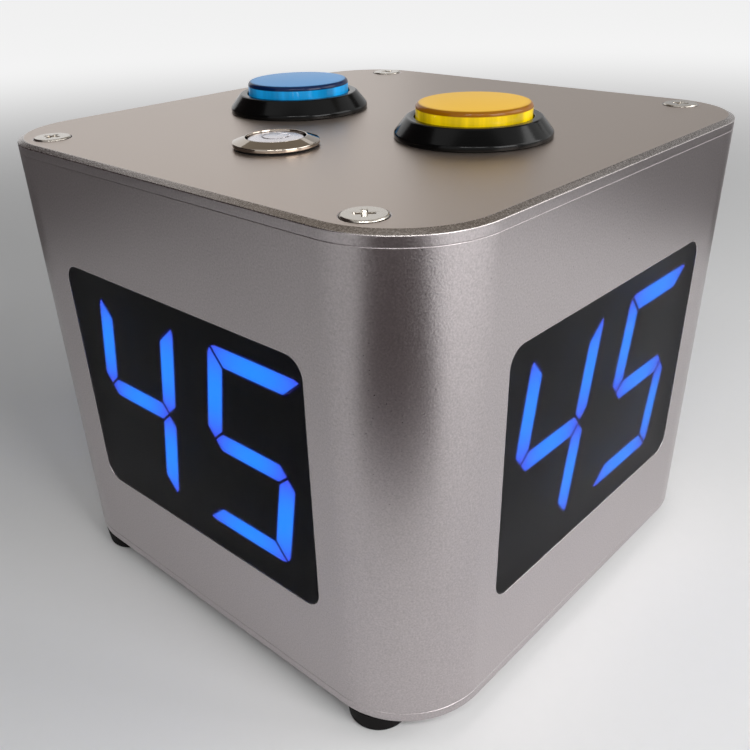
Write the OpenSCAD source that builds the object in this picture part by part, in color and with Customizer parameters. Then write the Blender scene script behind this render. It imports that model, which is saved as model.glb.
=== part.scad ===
// Four-sided countdown timer for a card table. Millimetres, Z up.
// The origin is on the table, under the middle of the square body.
// The front is the -Y face, on the side of the power button.

/* [Housing] */
// Width and depth of the square body
body_w = 125; // [124:1:140]
// Height of the extruded sleeve between the two plates
sleeve_h = 98.6; // [94:0.2:120]
// Radius of the four upright corners
corner_r = 20; // [18:0.5:21]
// Wall thickness of the sleeve
wall_t = 1.8; // [1.6:0.1:2]
// Thickness of the top plate and of the base plate
plate_t = 2.5; // [2.4:0.1:3]
// Width of the bevel round the top plate
bevel_w = 1.4; // [0.8:0.1:2]
// Height of the bevel round the top plate
bevel_h = 0.65; // [0.4:0.05:1]
// Broken edges beside the two seams
seam_edge = 0.25; // [0.1:0.05:0.4]

/* [Windows] */
// Width of each window
window_w = 75; // [72:0.5:76]
// Height of each window
window_h = 56; // [54:0.5:58]
// Corner radius of each window
window_r = 4; // [2:0.5:6]
// Drop from the top plate's surface to the middle of the windows
window_drop = 52.5; // [50:0.5:56]
// Thickness of the smoked window panels
lens_t = 1.6; // [1.2:0.1:1.8]

/* [Digits] */
// Number shown on all four sides
shown = 45; // [10:1:99]
// Height of a digit
digit_h = 44.9; // [40:0.1:46]
// Width of a digit before it leans
digit_w = 26.3; // [22:0.1:27]
// Distance between the middles of the two digits
digit_pitch = 37.5; // [34:0.5:38]
// Lean of the digits in degrees
digit_lean = 10; // [0:1:12]
// Width of the upright segments
upright_w = 4.4; // [3:0.1:5]
// Width of the level segments
level_w = 4.2; // [3:0.1:5]
// Gap between neighbouring segments
segment_gap = 0.6; // [0.4:0.1:1]

/* [Push buttons] */
// Distance of each push button from the middle
button_x = 26.1; // [24:0.1:28]
// Flange diameter of a push button
flange_d = 33; // [31:0.5:35]
// Cap diameter of a push button
cap_d = 24; // [22:0.5:24]
// Travel of a push button
button_travel = 3; // [2:0.25:3]

/* [Power button] */
// Distance of the power button in front of the middle
power_y = 31.3; // [30:0.1:33]
// Flange diameter of the power button
power_d = 17.8; // [17:0.1:19]
// Travel of the power button
power_travel = 1.2; // [0.8:0.1:1.4]

/* [Fasteners and feet] */
// Distance of the cover screws from the middle, sideways
screw_x = 46; // [46:0.5:47]
// Distance of the cover screws from the middle, front to back
screw_y = 55; // [54.5:0.5:55.5]
// Head diameter of the cover screws
screw_head_d = 7.8; // [7:0.1:8.5]
// Height of the rubber feet
foot_h = 5; // [4:0.5:8]
// Diameter of the rubber feet at the base plate
foot_d = 14; // [12:0.5:15]

/* [Hidden] */

$fn = 72;

// Levels of the housing
base_z = foot_h;
sleeve_z = base_z + plate_t;
lid_z = sleeve_z + sleeve_h;
top_z = lid_z + plate_t;
window_z = top_z - window_drop;

// Screw channels of the sleeve
boss_r = 4.5;
thread_r = 2;
slack = 0.05;
thread_depth = 14;
screw_hole_r = thread_r + 0.2;
screw_head_h = 2;
foot_web = 2;

// Layers behind a window, measured inwards from the outer face
lens_recess = 0.1;
lens_slack = 0.1;
lens_edge = 0.12;
window_edge = 0.25;
module_depth = wall_t + 0.05;
module_t = 8;
cavity_t = 7;
fill_t = 6.9;
board_depth = module_depth + module_t;
board_t = 1.6;
board_hole_r = 1.6;
sink_in = 0.4;
frame_w = 82;
frame_h = 68;
frame_r = 2;
frame_front_t = 1.5;
frame_lip_t = 1.2;
frame_slack = 0.1;
post_x = 36.5;
post_y = 31.2;
post_r = 2.6;

// Seven-segment geometry
slant = tan(digit_lean);
digit_hw = digit_w / 2;
digit_hh = digit_h / 2;
digit_r = 2.4;
arc_steps = 4;
waist_gap = 0.5;
mitre = segment_gap / sqrt(2);
mitre_shift = (upright_w - level_w) / sqrt(2);
arc_a = 45 + asin((segment_gap / 2 + mitre_shift) / digit_r);
arc_b = 45 - asin((segment_gap / 2 - mitre_shift) / digit_r);
waist_tip = digit_hw - upright_w / 2 + waist_gap - segment_gap * sqrt(2);

// Push button, levels measured from the surface of the top plate
flange_h = 4;
flange_rim = 1;
flange_top_r = 14;
cap_r = cap_d / 2;
cap_gap = 0.3;
cap_edge_z = 5.75;
cap_top_z = 6.7;
cap_face_r = 11.1;
cap_crown = 0.3;
cap_wall = 1.4;
cap_skirt_z = -1;
cap_floor_z = 4.8;
barrel_r = 13.8;
barrel_z = -26;
barrel_bore_r = 12;
ear_post_l = 3.5;
shelf_z = -10;
shelf_t = 2;
shelf_r = 8;
stem_r = 7.92;
stem_bore_r = 6.3;
stem_z = -20;
leg_z = -27.7;
leg_w = 5;
spring_wire = 0.7;
spring_r = 9.9;
switch_w = 10.3;
switch_l = 27.8;
switch_h = 15.9;
switch_z = -32.2;
ear_t = 2;
peg_y = 11.1;
peg_z = switch_z - 5;
peg_hole_r = 1.5;
lever_pivot_y = -10.5;
lever_pivot_z = switch_z + 0.9;
lever_w = 4.4;
lever_t = 0.5;
lever_rise = 9.2;
lever_l = 20.5;
lever_pin_r = 0.6;
lever_pin_l = 8;
switch_pin_y = -3.5;
switch_pin_r = 1.2;

// Power button, levels measured from the surface of the top plate
seal_t = 0.4;
power_top_z = 2.1;
power_rim_z = 1.15;
power_face_r = 6.25;
power_bore_r = 6;
power_cap_r = 5.8;
power_cap_z = 1.65;
power_cap_t = 2.2;
power_barrel_r = 7.9;
power_barrel_z = -20;
power_shelf_z = -9;
power_shelf_t = 1.5;
power_socket_r = 6.4;
power_stem_r = 3;
power_spring_r = 4.4;
power_spring_wire = 0.5;

// Electronics on the base plate
standoff_h = 5;
standoff_w = 5;
main_w = 76;
main_y0 = 4;
main_y1 = 58;
main_z = sleeve_z + standoff_h;
main_hole_x = 34;
main_hole_y = [9, 53];
cell_r = 9.1;
cell_l = 65;
cell_pitch = 19.6;
battery_y = -19.5;
bay_r = cell_r + 0.3;
bay_l = cell_l + 6;
bay_z = sleeve_z + 1.4 + bay_r;
cell_z = bay_z - bay_r + cell_r;
cell_tip_h = 1.5;
buzzer_pos = [50, -20];
buzzer_r = 7;
buzzer_h = 9.5;
socket_w = 8.94;
socket_h = 3.26;
socket_l = 7.35;
socket_slack = 0.4;
socket_z = main_z + board_t + socket_h / 2;

// Colours as the parts look
silver = [0.62, 0.60, 0.60];
nickel = [0.75, 0.73, 0.70];
black = [0.04, 0.04, 0.04];
smoke = [0.08, 0.08, 0.09, 0.75];
lit_blue = [0.13, 0.45, 1];
unlit = [0.10, 0.10, 0.12];
board_green = [0.05, 0.30, 0.16];
cap_blue = [0.10, 0.45, 0.85, 0.85];
cap_yellow = [0.95, 0.75, 0.10, 0.85];
milk = [0.92, 0.92, 0.90];
steel = [0.70, 0.70, 0.72];
red = [0.70, 0.10, 0.10];
cell_green = [0.15, 0.45, 0.25];

// Segments of a digit, each a list of points about the digit's middle
function flip_u(pts) = [for (p = pts) [-p[0], p[1]]];
function flip_v(pts) = [for (p = pts) [p[0], -p[1]]];
function reversed(pts) = [for (i = [len(pts) - 1 : -1 : 0]) pts[i]];
function corner_arc(from, to) = [
    for (i = [0 : arc_steps])
        let (t = from + (to - from) * i / arc_steps)
            [digit_hw - digit_r + digit_r * cos(t), digit_hh - digit_r + digit_r * sin(t)]
];
function half_bar() = concat(
    corner_arc(90, arc_a),
    [[digit_hw - upright_w - mitre, digit_hh - level_w]]
);
function top_bar() = concat(half_bar(), reversed(flip_u(half_bar())));
function right_bar() = concat(
    corner_arc(arc_b, 0),
    [
        [digit_hw, waist_gap + upright_w / 2],
        [digit_hw - upright_w / 2, waist_gap],
        [digit_hw - upright_w, waist_gap + upright_w / 2],
        [digit_hw - upright_w, digit_hh - level_w - mitre]
    ]
);
function waist_bar() = [
    for (s = [1, -1]) each [
        [s * (waist_tip - level_w / 2), -s * level_w / 2],
        [s * waist_tip, 0],
        [s * (waist_tip - level_w / 2), s * level_w / 2]
    ]
];
segments = [
    top_bar(), right_bar(), flip_v(right_bar()), flip_v(top_bar()),
    flip_u(flip_v(right_bar())), flip_u(right_bar()), waist_bar()
];
glyphs = [
    [0, 1, 2, 3, 4, 5], [1, 2], [0, 1, 3, 4, 6], [0, 1, 2, 3, 6], [1, 2, 5, 6],
    [0, 2, 3, 5, 6], [0, 2, 3, 4, 5, 6], [0, 1, 2], [0, 1, 2, 3, 4, 5, 6], [0, 1, 2, 3, 5, 6]
];
function leaned(pts) = [for (p = pts) [p[0] + slant * p[1], p[1]]];
function lit(digit) = glyphs[digit];
function dark(digit) = [for (i = [0 : 6]) if (len(search(i, glyphs[digit])) == 0) i];
tens = floor(shown / 10);
ones = shown % 10;

// Puts its children on one of the four sides, 0 front, 1 right, 2 back, 3 left.
// There x runs to the right, y up and z outwards from the middle of the window.
module on_side(k) {
    rotate([0, 0, 90 * k])
        translate([0, -body_w / 2, window_z])
            rotate([90, 0, 0]) children();
}

module rounded_rect(w, h, r) {
    square([w - 2 * r, h], center = true);
    square([w, h - 2 * r], center = true);
    for (sx = [-1, 1], sy = [-1, 1])
        translate([sx * (w / 2 - r), sy * (h / 2 - r)]) circle(r);
}

module stadium(w, h) {
    square([w - h, h], center = true);
    for (s = [-1, 1]) translate([s * (w - h) / 2, 0]) circle(h / 2);
}

// Rounded rectangle whose edge follows a list of [outward step, z], from bottom to top
module slab(w, h, r, edge) {
    z0 = edge[0][1];
    z1 = edge[len(edge) - 1][1];
    flank = concat([[0, z0]], [for (p = edge) [r + p[0], p[1]]], [[0, z1]]);
    translate([r - w / 2, r - h / 2, z0]) cube([w - 2 * r, h - 2 * r, z1 - z0]);
    for (k = [0 : 3]) {
        sx = k == 0 || k == 3 ? 1 : -1;
        sy = k < 2 ? 1 : -1;
        along = k % 2 == 0 ? h : w;
        across = k % 2 == 0 ? w : h;
        translate([sx * (w / 2 - r), sy * (h / 2 - r), 0])
            rotate([0, 0, 90 * k]) rotate_extrude(angle = 90) polygon(flank);
        rotate([0, 0, 90 * k])
            translate([across / 2 - r, 0, 0])
                rotate([90, 0, 0])
                    linear_extrude(height = along - 2 * r, center = true) polygon(flank);
    }
}

module at_screws() {
    for (sx = [-1, 1], sy = [-1, 1])
        translate([sx * screw_x, sy * screw_y, 0]) children();
}

// Coil of round wire between two levels
module coil(r, wire, z0, z1, turns) {
    steps = 14;
    sides = 6;
    n = turns * steps;
    rise = z1 - z0 - wire;
    points = [
        for (i = [0 : n], j = [0 : sides - 1])
            let (
                a = 360 * i / steps,
                b = 360 * j / sides,
                rr = r + wire / 2 * cos(b),
                zz = z0 + wire / 2 + rise * i / n + wire / 2 * sin(b)
            )
                [rr * cos(a), rr * sin(a), zz]
    ];
    skin = [
        for (i = [0 : n - 1], j = [0 : sides - 1])
            let (k = (j + 1) % sides, p = i * sides, q = p + sides)
                each [[p + j, q + j, q + k], [p + j, q + k, p + k]]
    ];
    start = [for (j = [1 : sides - 2]) [0, j, j + 1]];
    end = [for (j = [1 : sides - 2]) [n * sides, n * sides + j + 1, n * sides + j]];
    polyhedron(points, concat(skin, start, end));
}

// Housing
module body_sleeve() {
    inner_w = body_w - 2 * wall_t;
    web_w = 4;
    web_l = 6;
    web_y = screw_y + 3.2;
    color(silver) difference() {
        union() {
            difference() {
                slab(body_w, body_w, corner_r, [
                    [-seam_edge, sleeve_z], [0, sleeve_z + seam_edge],
                    [0, lid_z - seam_edge], [-seam_edge, lid_z]
                ]);
                translate([0, 0, sleeve_z - 1])
                    linear_extrude(height = sleeve_h + 2)
                        rounded_rect(inner_w, inner_w, corner_r - wall_t);
            }
            at_screws() translate([0, 0, sleeve_z]) cylinder(r = boss_r, h = sleeve_h);
            for (sx = [-1, 1], sy = [-1, 1])
                translate([sx * screw_x - web_w / 2, sy * web_y - web_l / 2, sleeve_z])
                    cube([web_w, web_l, sleeve_h]);
        }
        for (k = [0 : 3]) on_side(k) window_cut();
        for (z = [sleeve_z - 1, lid_z - thread_depth])
            at_screws() translate([0, 0, z]) cylinder(r = thread_r, h = thread_depth + 1);
        on_side(2)
            translate([0, socket_z - window_z, -wall_t - 1])
                linear_extrude(height = wall_t + 2)
                    stadium(socket_w + socket_slack, socket_h + socket_slack);
    }
}

module window_cut() {
    slab(window_w, window_h, window_r, [
        [0, -wall_t - 1], [0, -window_edge], [window_edge, 0], [window_edge, 1]
    ]);
}

module top_plate() {
    sink_r = screw_head_d / 2 + slack;
    sink_h = screw_head_h - 0.2;
    color(silver) difference() {
        slab(body_w, body_w, corner_r, [
            [-seam_edge, lid_z], [0, lid_z + seam_edge],
            [0, top_z - bevel_h], [-bevel_w, top_z]
        ]);
        for (s = [-1, 1])
            translate([s * button_x, 0, lid_z - 1]) cylinder(r = barrel_r + 0.15, h = plate_t + 2);
        translate([0, -power_y, lid_z - 1]) cylinder(r = power_barrel_r + 0.1, h = plate_t + 2);
        at_screws() {
            translate([0, 0, lid_z - 1]) cylinder(r = screw_hole_r, h = plate_t + 2);
            translate([0, 0, top_z - sink_h]) cylinder(r1 = screw_hole_r, r2 = sink_r, h = sink_h);
        }
    }
}

module base_plate() {
    edge = 0.6;
    sound_hole_r = 0.8;
    sound_ring_r = 3.2;
    color(silver) difference() {
        slab(body_w, body_w, corner_r, [
            [-edge, base_z], [0, base_z + edge],
            [0, sleeve_z - seam_edge], [-seam_edge, sleeve_z]
        ]);
        at_screws() translate([0, 0, base_z - 1]) cylinder(r = screw_hole_r, h = plate_t + 2);
        translate([buzzer_pos[0], buzzer_pos[1], base_z - 1]) {
            cylinder(r = sound_hole_r, h = plate_t + 2);
            for (a = [0 : 60 : 300])
                rotate([0, 0, a])
                    translate([sound_ring_r, 0, 0]) cylinder(r = sound_hole_r, h = plate_t + 2);
        }
    }
}

// Cross recess of a screw head, from the level 0 down
module cross_slot(l, w, t, turn) {
    for (a = [0, 90])
        rotate([0, 0, a + turn]) translate([-l / 2, -w / 2, -t]) cube([l, w, t + 1]);
}

module lid_screws() {
    head_r = screw_head_d / 2;
    proud = 0.3;
    edge = 0.25;
    screw_l = 12;
    color(nickel) at_screws() translate([0, 0, top_z]) difference() {
        union() {
            translate([0, 0, -screw_head_h])
                cylinder(r1 = thread_r - slack, r2 = head_r, h = screw_head_h);
            cylinder(r1 = head_r, r2 = head_r - edge, h = proud);
            translate([0, 0, -screw_l]) cylinder(r = thread_r - slack, h = screw_l - 1);
        }
        translate([0, 0, proud]) cross_slot(5, 1.3, 1.4, 42);
    }
}

module rubber_feet() {
    edge = 0.5;
    tip_r = foot_d / 2 - 0.5;
    well_r = 4.3;
    color(black) at_screws() difference() {
        union() {
            cylinder(r1 = tip_r - edge, r2 = tip_r, h = edge);
            translate([0, 0, edge]) cylinder(r1 = tip_r, r2 = foot_d / 2, h = foot_h - edge);
        }
        translate([0, 0, -1]) cylinder(r = screw_hole_r, h = foot_h + 2);
        translate([0, 0, -1]) cylinder(r = well_r, h = 1 + foot_h - foot_web);
    }
}

module foot_screws() {
    head_r = 3.9;
    head_h = 2.2;
    grip = 8;
    color(nickel) at_screws() translate([0, 0, foot_h - foot_web - head_h]) difference() {
        union() {
            cylinder(r = head_r, h = head_h);
            cylinder(r = thread_r - slack, h = head_h + foot_web + plate_t + grip);
        }
        mirror([0, 0, 1]) cross_slot(4, 0.9, 1.2, 0);
    }
}

// Windows and displays
module window_panel(k) {
    color(smoke) on_side(k)
        slab(window_w - 2 * lens_slack, window_h - 2 * lens_slack, window_r - lens_slack, [
            [0, -lens_recess - lens_t], [0, -lens_recess - lens_edge], [-lens_edge, -lens_recess]
        ]);
}

module window_front() { window_panel(0); }
module window_right() { window_panel(1); }
module window_back() { window_panel(2); }
module window_left() { window_panel(3); }

module display_frame(k) {
    lip_w = window_w + 2 * frame_slack;
    lip_h = window_h + 2 * frame_slack;
    depth = board_depth - wall_t;
    pilot_r = 1.5;
    pilot_h = 5;
    color(black) on_side(k) translate([0, 0, -board_depth]) difference() {
        union() {
            translate([0, 0, depth - frame_front_t])
                linear_extrude(height = frame_front_t) rounded_rect(frame_w, frame_h, frame_r);
            linear_extrude(height = depth)
                rounded_rect(lip_w + 2 * frame_lip_t, lip_h + 2 * frame_lip_t, frame_r);
            for (sx = [-1, 1], sy = [-1, 1])
                translate([sx * post_x, sy * post_y, 0]) cylinder(r = post_r, h = depth);
        }
        translate([0, 0, depth / 2]) cube([lip_w, lip_h, depth + 2], center = true);
        for (sx = [-1, 1], sy = [-1, 1])
            translate([sx * post_x, sy * post_y, -1]) cylinder(r = pilot_r, h = pilot_h + 1);
    }
}

module display_frame_front() { display_frame(0); }
module display_frame_right() { display_frame(1); }
module display_frame_back() { display_frame(2); }
module display_frame_left() { display_frame(3); }

// Segments of one side, raised from the depth given up to the module's face
module segment_fill(which, x, h) {
    translate([x, 0, -module_depth - h])
        for (i = which) linear_extrude(height = h) polygon(leaned(segments[i]));
}

module display_module(k) {
    color(unlit) on_side(k) difference() {
        translate([-window_w / 2, -window_h / 2, -board_depth])
            cube([window_w, window_h, module_t]);
        for (s = [-1, 1])
            translate([0, 0, 0.01]) segment_fill([0 : 6], s * digit_pitch / 2, cavity_t);
    }
}

module display_module_front() { display_module(0); }
module display_module_right() { display_module(1); }
module display_module_back() { display_module(2); }
module display_module_left() { display_module(3); }

module lit_segments(k) {
    color(lit_blue) on_side(k) {
        segment_fill(lit(tens), -digit_pitch / 2, fill_t);
        segment_fill(lit(ones), digit_pitch / 2, fill_t);
    }
}

module lit_segments_front() { lit_segments(0); }
module lit_segments_right() { lit_segments(1); }
module lit_segments_back() { lit_segments(2); }
module lit_segments_left() { lit_segments(3); }

module unlit_segments() {
    color(unlit) for (k = [0 : 3]) on_side(k) {
        segment_fill(dark(tens), -digit_pitch / 2, fill_t);
        segment_fill(dark(ones), digit_pitch / 2, fill_t);
    }
}

// Box given by its width and depth, standing on a board at [x, y]
module chip(x, y, w, d, h) {
    translate([x - w / 2, y - d / 2, -sink_in]) cube([w, d, h + sink_in]);
}

// Open shrouded header for a ribbon cable
module header(x, y, w, d, h) {
    rim = 1;
    difference() {
        chip(x, y, w, d, h);
        translate([x - w / 2 + rim, y - d / 2 + rim, rim]) cube([w - 2 * rim, d - 2 * rim, h]);
    }
}

module display_board(k) {
    color(board_green) on_side(k) translate([0, 0, -board_depth - board_t]) {
        difference() {
            linear_extrude(height = board_t) rounded_rect(frame_w, frame_h, frame_r);
            for (sx = [-1, 1], sy = [-1, 1])
                translate([sx * post_x, sy * post_y, -1]) cylinder(r = board_hole_r, h = board_t + 2);
        }
        mirror([0, 0, 1]) {
            for (x = [-11, 11]) chip(x, 0, 10, 7.5, 1.6);
            header(0, -24, 16, 5.8, 6);
        }
    }
}

module display_board_front() { display_board(0); }
module display_board_right() { display_board(1); }
module display_board_back() { display_board(2); }
module display_board_left() { display_board(3); }

// Push buttons
module at_button(s) {
    translate([s * button_x, 0, top_z]) children();
}

module button_housing(s) {
    bore_r = cap_r + cap_gap;
    ear_x = switch_w / 2 + 0.15;
    ear_end_z = switch_z - 11;
    peg_l = 2;
    color(black) at_button(s) {
        rotate_extrude() polygon([
            [bore_r, flange_h], [flange_top_r, flange_h], [flange_d / 2, flange_rim],
            [flange_d / 2, 0], [barrel_r, 0], [barrel_r, barrel_z], [barrel_bore_r, barrel_z],
            [barrel_bore_r, shelf_z - shelf_t], [shelf_r, shelf_z - shelf_t],
            [shelf_r, shelf_z], [bore_r, shelf_z]
        ]);
        for (a = [0, 180]) rotate([0, 0, a]) {
            intersection() {
                translate([0, 0, ear_end_z]) cylinder(r = barrel_r, h = barrel_z + 1 - ear_end_z);
                translate([ear_x, -barrel_r, ear_end_z]) difference() {
                    cube([ear_t, 2 * barrel_r, barrel_z + 1 - ear_end_z]);
                    translate([-1, ear_post_l, barrel_z - 2 - ear_end_z])
                        cube([ear_t + 2, 2 * (barrel_r - ear_post_l), 10]);
                }
            }
            for (end = [-1, 1])
                translate([ear_x - peg_l, end * peg_y, peg_z]) rotate([0, 90, 0])
                    cylinder(r = peg_hole_r - 0.1, h = peg_l + 0.5);
        }
    }
}

module button_cap(s, tint) {
    crown_steps = 5;
    rim_steps = 4;
    crown = [
        for (i = [0 : crown_steps - 1])
            let (u = i / crown_steps)
                [cap_face_r * u, cap_top_z + cap_crown * (1 - u * u)]
    ];
    rim = [
        for (i = [0 : rim_steps])
            let (t = 90 * i / rim_steps)
                [
                    cap_face_r + (cap_r - cap_face_r) * sin(t),
                    cap_edge_z + (cap_top_z - cap_edge_z) * cos(t)
                ]
    ];
    inner_r = cap_r - cap_wall;
    color(tint) at_button(s) rotate_extrude()
        polygon(concat(crown, rim, [
            [cap_r, cap_skirt_z], [inner_r, cap_skirt_z], [inner_r, cap_floor_z], [0, cap_floor_z]
        ]));
}

// Milky carrier under the cap: it spreads the light, runs in the shelf and works the switch
module button_plunger(s) {
    disc_r = cap_r - cap_wall - 0.1;
    disc_z = cap_floor_z - 0.1;
    disc_t = 1.2;
    rim_r = cap_r - 0.2;
    rim_z = cap_skirt_z - 0.1;
    hook_r = shelf_r + 1.1;
    hook_z = shelf_z - shelf_t - 0.3;
    hook_w = 4;
    color(milk) at_button(s) {
        rotate_extrude() polygon([
            [0, disc_z], [disc_r, disc_z], [disc_r, rim_z], [rim_r, rim_z],
            [rim_r, rim_z - disc_t], [stem_r, rim_z - disc_t], [stem_r, stem_z],
            [stem_bore_r, stem_z], [stem_bore_r, rim_z], [disc_r - disc_t, rim_z],
            [disc_r - disc_t, disc_z - disc_t], [0, disc_z - disc_t]
        ]);
        for (a = [0, 180])
            rotate([90, 0, a]) translate([0, 0, -hook_w / 2])
                linear_extrude(height = hook_w) polygon([
                    [stem_bore_r + 0.7, hook_z], [hook_r, hook_z], [hook_r, hook_z - 0.6],
                    [stem_r - 0.3, hook_z - 3], [stem_bore_r + 0.7, hook_z - 3]
                ]);
        intersection() {
            translate([0, 0, leg_z]) difference() {
                cylinder(r = stem_r, h = stem_z + 1 - leg_z);
                translate([0, 0, -1]) cylinder(r = stem_bore_r, h = 20);
            }
            translate([-leg_w / 2, 0, leg_z - 1]) cube([leg_w, stem_r + 1, 20]);
        }
    }
}

module button_nut(s) {
    nut_r = 17;
    nut_h = 6;
    grips = 12;
    grip_r = 1.6;
    color(black) at_button(s) translate([0, 0, -plate_t - nut_h]) difference() {
        cylinder(r = nut_r, h = nut_h);
        translate([0, 0, -1]) cylinder(r = barrel_r + slack, h = nut_h + 2);
        for (i = [0 : grips - 1])
            rotate([0, 0, 360 * i / grips])
                translate([nut_r + grip_r / 2, 0, -1]) cylinder(r = grip_r, h = nut_h + 2);
    }
}

module button_spring(s) {
    color(steel) at_button(s)
        coil(spring_r, spring_wire, shelf_z + slack, cap_skirt_z - 1.3 - slack, 5);
}

module button_lamp(s) {
    bridge_w = 7.6;
    bridge_t = 2.4;
    post_r = 4.9;
    post_h = 15.6;
    led_r = 2.5;
    led_h = 7;
    color(milk) at_button(s) translate([0, 0, barrel_z]) {
        intersection() {
            translate([-barrel_bore_r, -bridge_w / 2, 0])
                cube([2 * barrel_bore_r, bridge_w, bridge_t]);
            cylinder(r = barrel_bore_r, h = bridge_t);
        }
        cylinder(r = post_r, h = post_h);
        translate([0, 0, post_h]) {
            cylinder(r = led_r + 0.4, h = 1);
            cylinder(r = led_r, h = led_h);
            translate([0, 0, led_h]) sphere(r = led_r);
        }
    }
}

module switch_body(s) {
    lug = [1, 2.4, 2.4];
    lug_x = 3.6;
    tab = [0.8, 4.8, 6.4];
    color(black) at_button(s) difference() {
        union() {
            translate([-switch_w / 2, -switch_l / 2, switch_z - switch_h])
                cube([switch_w, switch_l, switch_h]);
            for (side = [-1, 1])
                translate([side * lug_x, lever_pivot_y, switch_z + lug[2] / 2 - 0.5])
                    cube(lug, center = true);
            for (y = [-10, 2, 11])
                translate([0, y, switch_z - switch_h - tab[2] / 2]) cube(tab, center = true);
        }
        for (end = [-1, 1])
            translate([0, end * peg_y, peg_z]) rotate([0, 90, 0])
                cylinder(r = peg_hole_r, h = switch_w + 2, center = true);
        translate([0, switch_pin_y, switch_z - 4]) cylinder(r = switch_pin_r + 0.08, h = 6);
        translate([0, lever_pivot_y, lever_pivot_z]) rotate([0, 90, 0])
            cylinder(r = lever_pin_r + slack, h = switch_w, center = true);
    }
}

module switch_lever(s) {
    color(steel) at_button(s)
        translate([0, lever_pivot_y, lever_pivot_z]) rotate([lever_rise, 0, 0]) {
            rotate([0, 90, 0]) cylinder(r = lever_pin_r, h = lever_pin_l, center = true);
            translate([-lever_w / 2, 0, -lever_t / 2]) cube([lever_w, lever_l, lever_t]);
        }
}

module switch_pin(s) {
    arm = switch_pin_y - lever_pivot_y;
    root_z = switch_z - 2;
    pin_top_z = lever_pivot_z + arm * tan(lever_rise) - lever_t / 2 - 0.35;
    color(red) at_button(s)
        translate([0, switch_pin_y, root_z]) cylinder(r = switch_pin_r, h = pin_top_z - root_z);
}

module blue_button_housing() { button_housing(-1); }
module blue_button_cap() { button_cap(-1, cap_blue); }
module blue_button_plunger() { button_plunger(-1); }
module blue_button_nut() { button_nut(-1); }
module blue_button_spring() { button_spring(-1); }
module blue_button_lamp() { button_lamp(-1); }
module blue_switch_body() { switch_body(-1); }
module blue_switch_lever() { switch_lever(-1); }
module blue_switch_pin() { switch_pin(-1); }

module yellow_button_housing() { button_housing(1); }
module yellow_button_cap() { button_cap(1, cap_yellow); }
module yellow_button_plunger() { button_plunger(1); }
module yellow_button_nut() { button_nut(1); }
module yellow_button_spring() { button_spring(1); }
module yellow_button_lamp() { button_lamp(1); }
module yellow_switch_body() { switch_body(1); }
module yellow_switch_lever() { switch_lever(1); }
module yellow_switch_pin() { switch_pin(1); }

// Power button
module at_power() {
    translate([0, -power_y, top_z]) children();
}

module power_button_body() {
    color(nickel) at_power() rotate_extrude() polygon([
        [power_bore_r, power_top_z - 0.2], [power_face_r, power_top_z],
        [power_d / 2, power_rim_z], [power_d / 2, seal_t], [power_barrel_r, seal_t],
        [power_barrel_r, power_barrel_z], [power_socket_r, power_barrel_z],
        [power_socket_r, power_shelf_z - power_shelf_t],
        [power_stem_r + 0.08, power_shelf_z - power_shelf_t],
        [power_stem_r + 0.08, power_shelf_z], [power_bore_r, power_shelf_z]
    ]);
}

module power_button_cap() {
    edge = 0.2;
    face_r = power_cap_r - edge;
    crown_h = 0.4;
    crown_steps = 5;
    under_z = power_cap_z - power_cap_t;
    stem_end_z = power_shelf_z - power_shelf_t - 1.8;
    crown = [
        for (i = [0 : crown_steps])
            let (u = i / crown_steps) [face_r * u, power_cap_z + crown_h * (1 - u * u)]
    ];
    color(nickel) at_power() rotate_extrude() polygon(concat(crown, [
        [power_cap_r, power_cap_z - edge], [power_cap_r, under_z],
        [power_stem_r, under_z], [power_stem_r, stem_end_z], [0, stem_end_z]
    ]));
}

module power_button_spring() {
    color(steel) at_power()
        coil(power_spring_r, power_spring_wire, power_shelf_z + slack,
             power_cap_z - power_cap_t - slack, 6);
}

module power_button_seal() {
    color(black) at_power() difference() {
        cylinder(r = power_d / 2 - 0.35, h = seal_t);
        translate([0, 0, -1]) cylinder(r = power_barrel_r + slack, h = seal_t + 2);
    }
}

module power_button_nut() {
    nut_h = 2.6;
    across_flats = 19;
    color(nickel) at_power() translate([0, 0, -plate_t - nut_h]) difference() {
        cylinder(r = across_flats / sqrt(3), h = nut_h, $fn = 6);
        translate([0, 0, -1]) cylinder(r = power_barrel_r + slack, h = nut_h + 2);
    }
}

module power_button_terminals() {
    flange_t = 3;
    plug_h = 4;
    tab = [1.8, 0.4, 5];
    color(black) at_power() translate([0, 0, power_barrel_z]) {
        translate([0, 0, -flange_t]) cylinder(r = power_barrel_r - 0.6, h = flange_t);
        cylinder(r = power_socket_r - 0.1, h = plug_h);
        for (x = [-3.4, 0, 3.4], y = [-2.2, 2.2])
            translate([x, y, -flange_t - tab[2] / 2]) cube(tab, center = true);
    }
}

// Electronics
module at_main_holes() {
    for (sx = [-1, 1], y = main_hole_y) translate([sx * main_hole_x, y, 0]) children();
}

module main_board() {
    color(board_green) {
        difference() {
            translate([-main_w / 2, main_y0, main_z])
                cube([main_w, main_y1 - main_y0, board_t]);
            at_main_holes()
                translate([0, 0, main_z - 1]) cylinder(r = board_hole_r, h = board_t + 2);
        }
        translate([0, 0, main_z + board_t]) {
            chip(0, 29, 14, 14, 1.6);
            chip(20, 27, 8, 6, 1.6);
            chip(-24, 36, 6, 5, 1.6);
            translate([-24, 18, -sink_in]) cylinder(r = 4, h = 9);
            for (x = [-16.5, -5.5, 5.5, 16.5]) header(x, 8, 9.5, 5.8, 6);
        }
    }
}

module board_standoffs() {
    color(nickel) at_main_holes() translate([0, 0, sleeve_z]) difference() {
        cylinder(r = standoff_w / sqrt(3), h = standoff_h, $fn = 6);
        translate([0, 0, 0.6]) cylinder(r = 1.5, h = standoff_h);
    }
}

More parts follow.
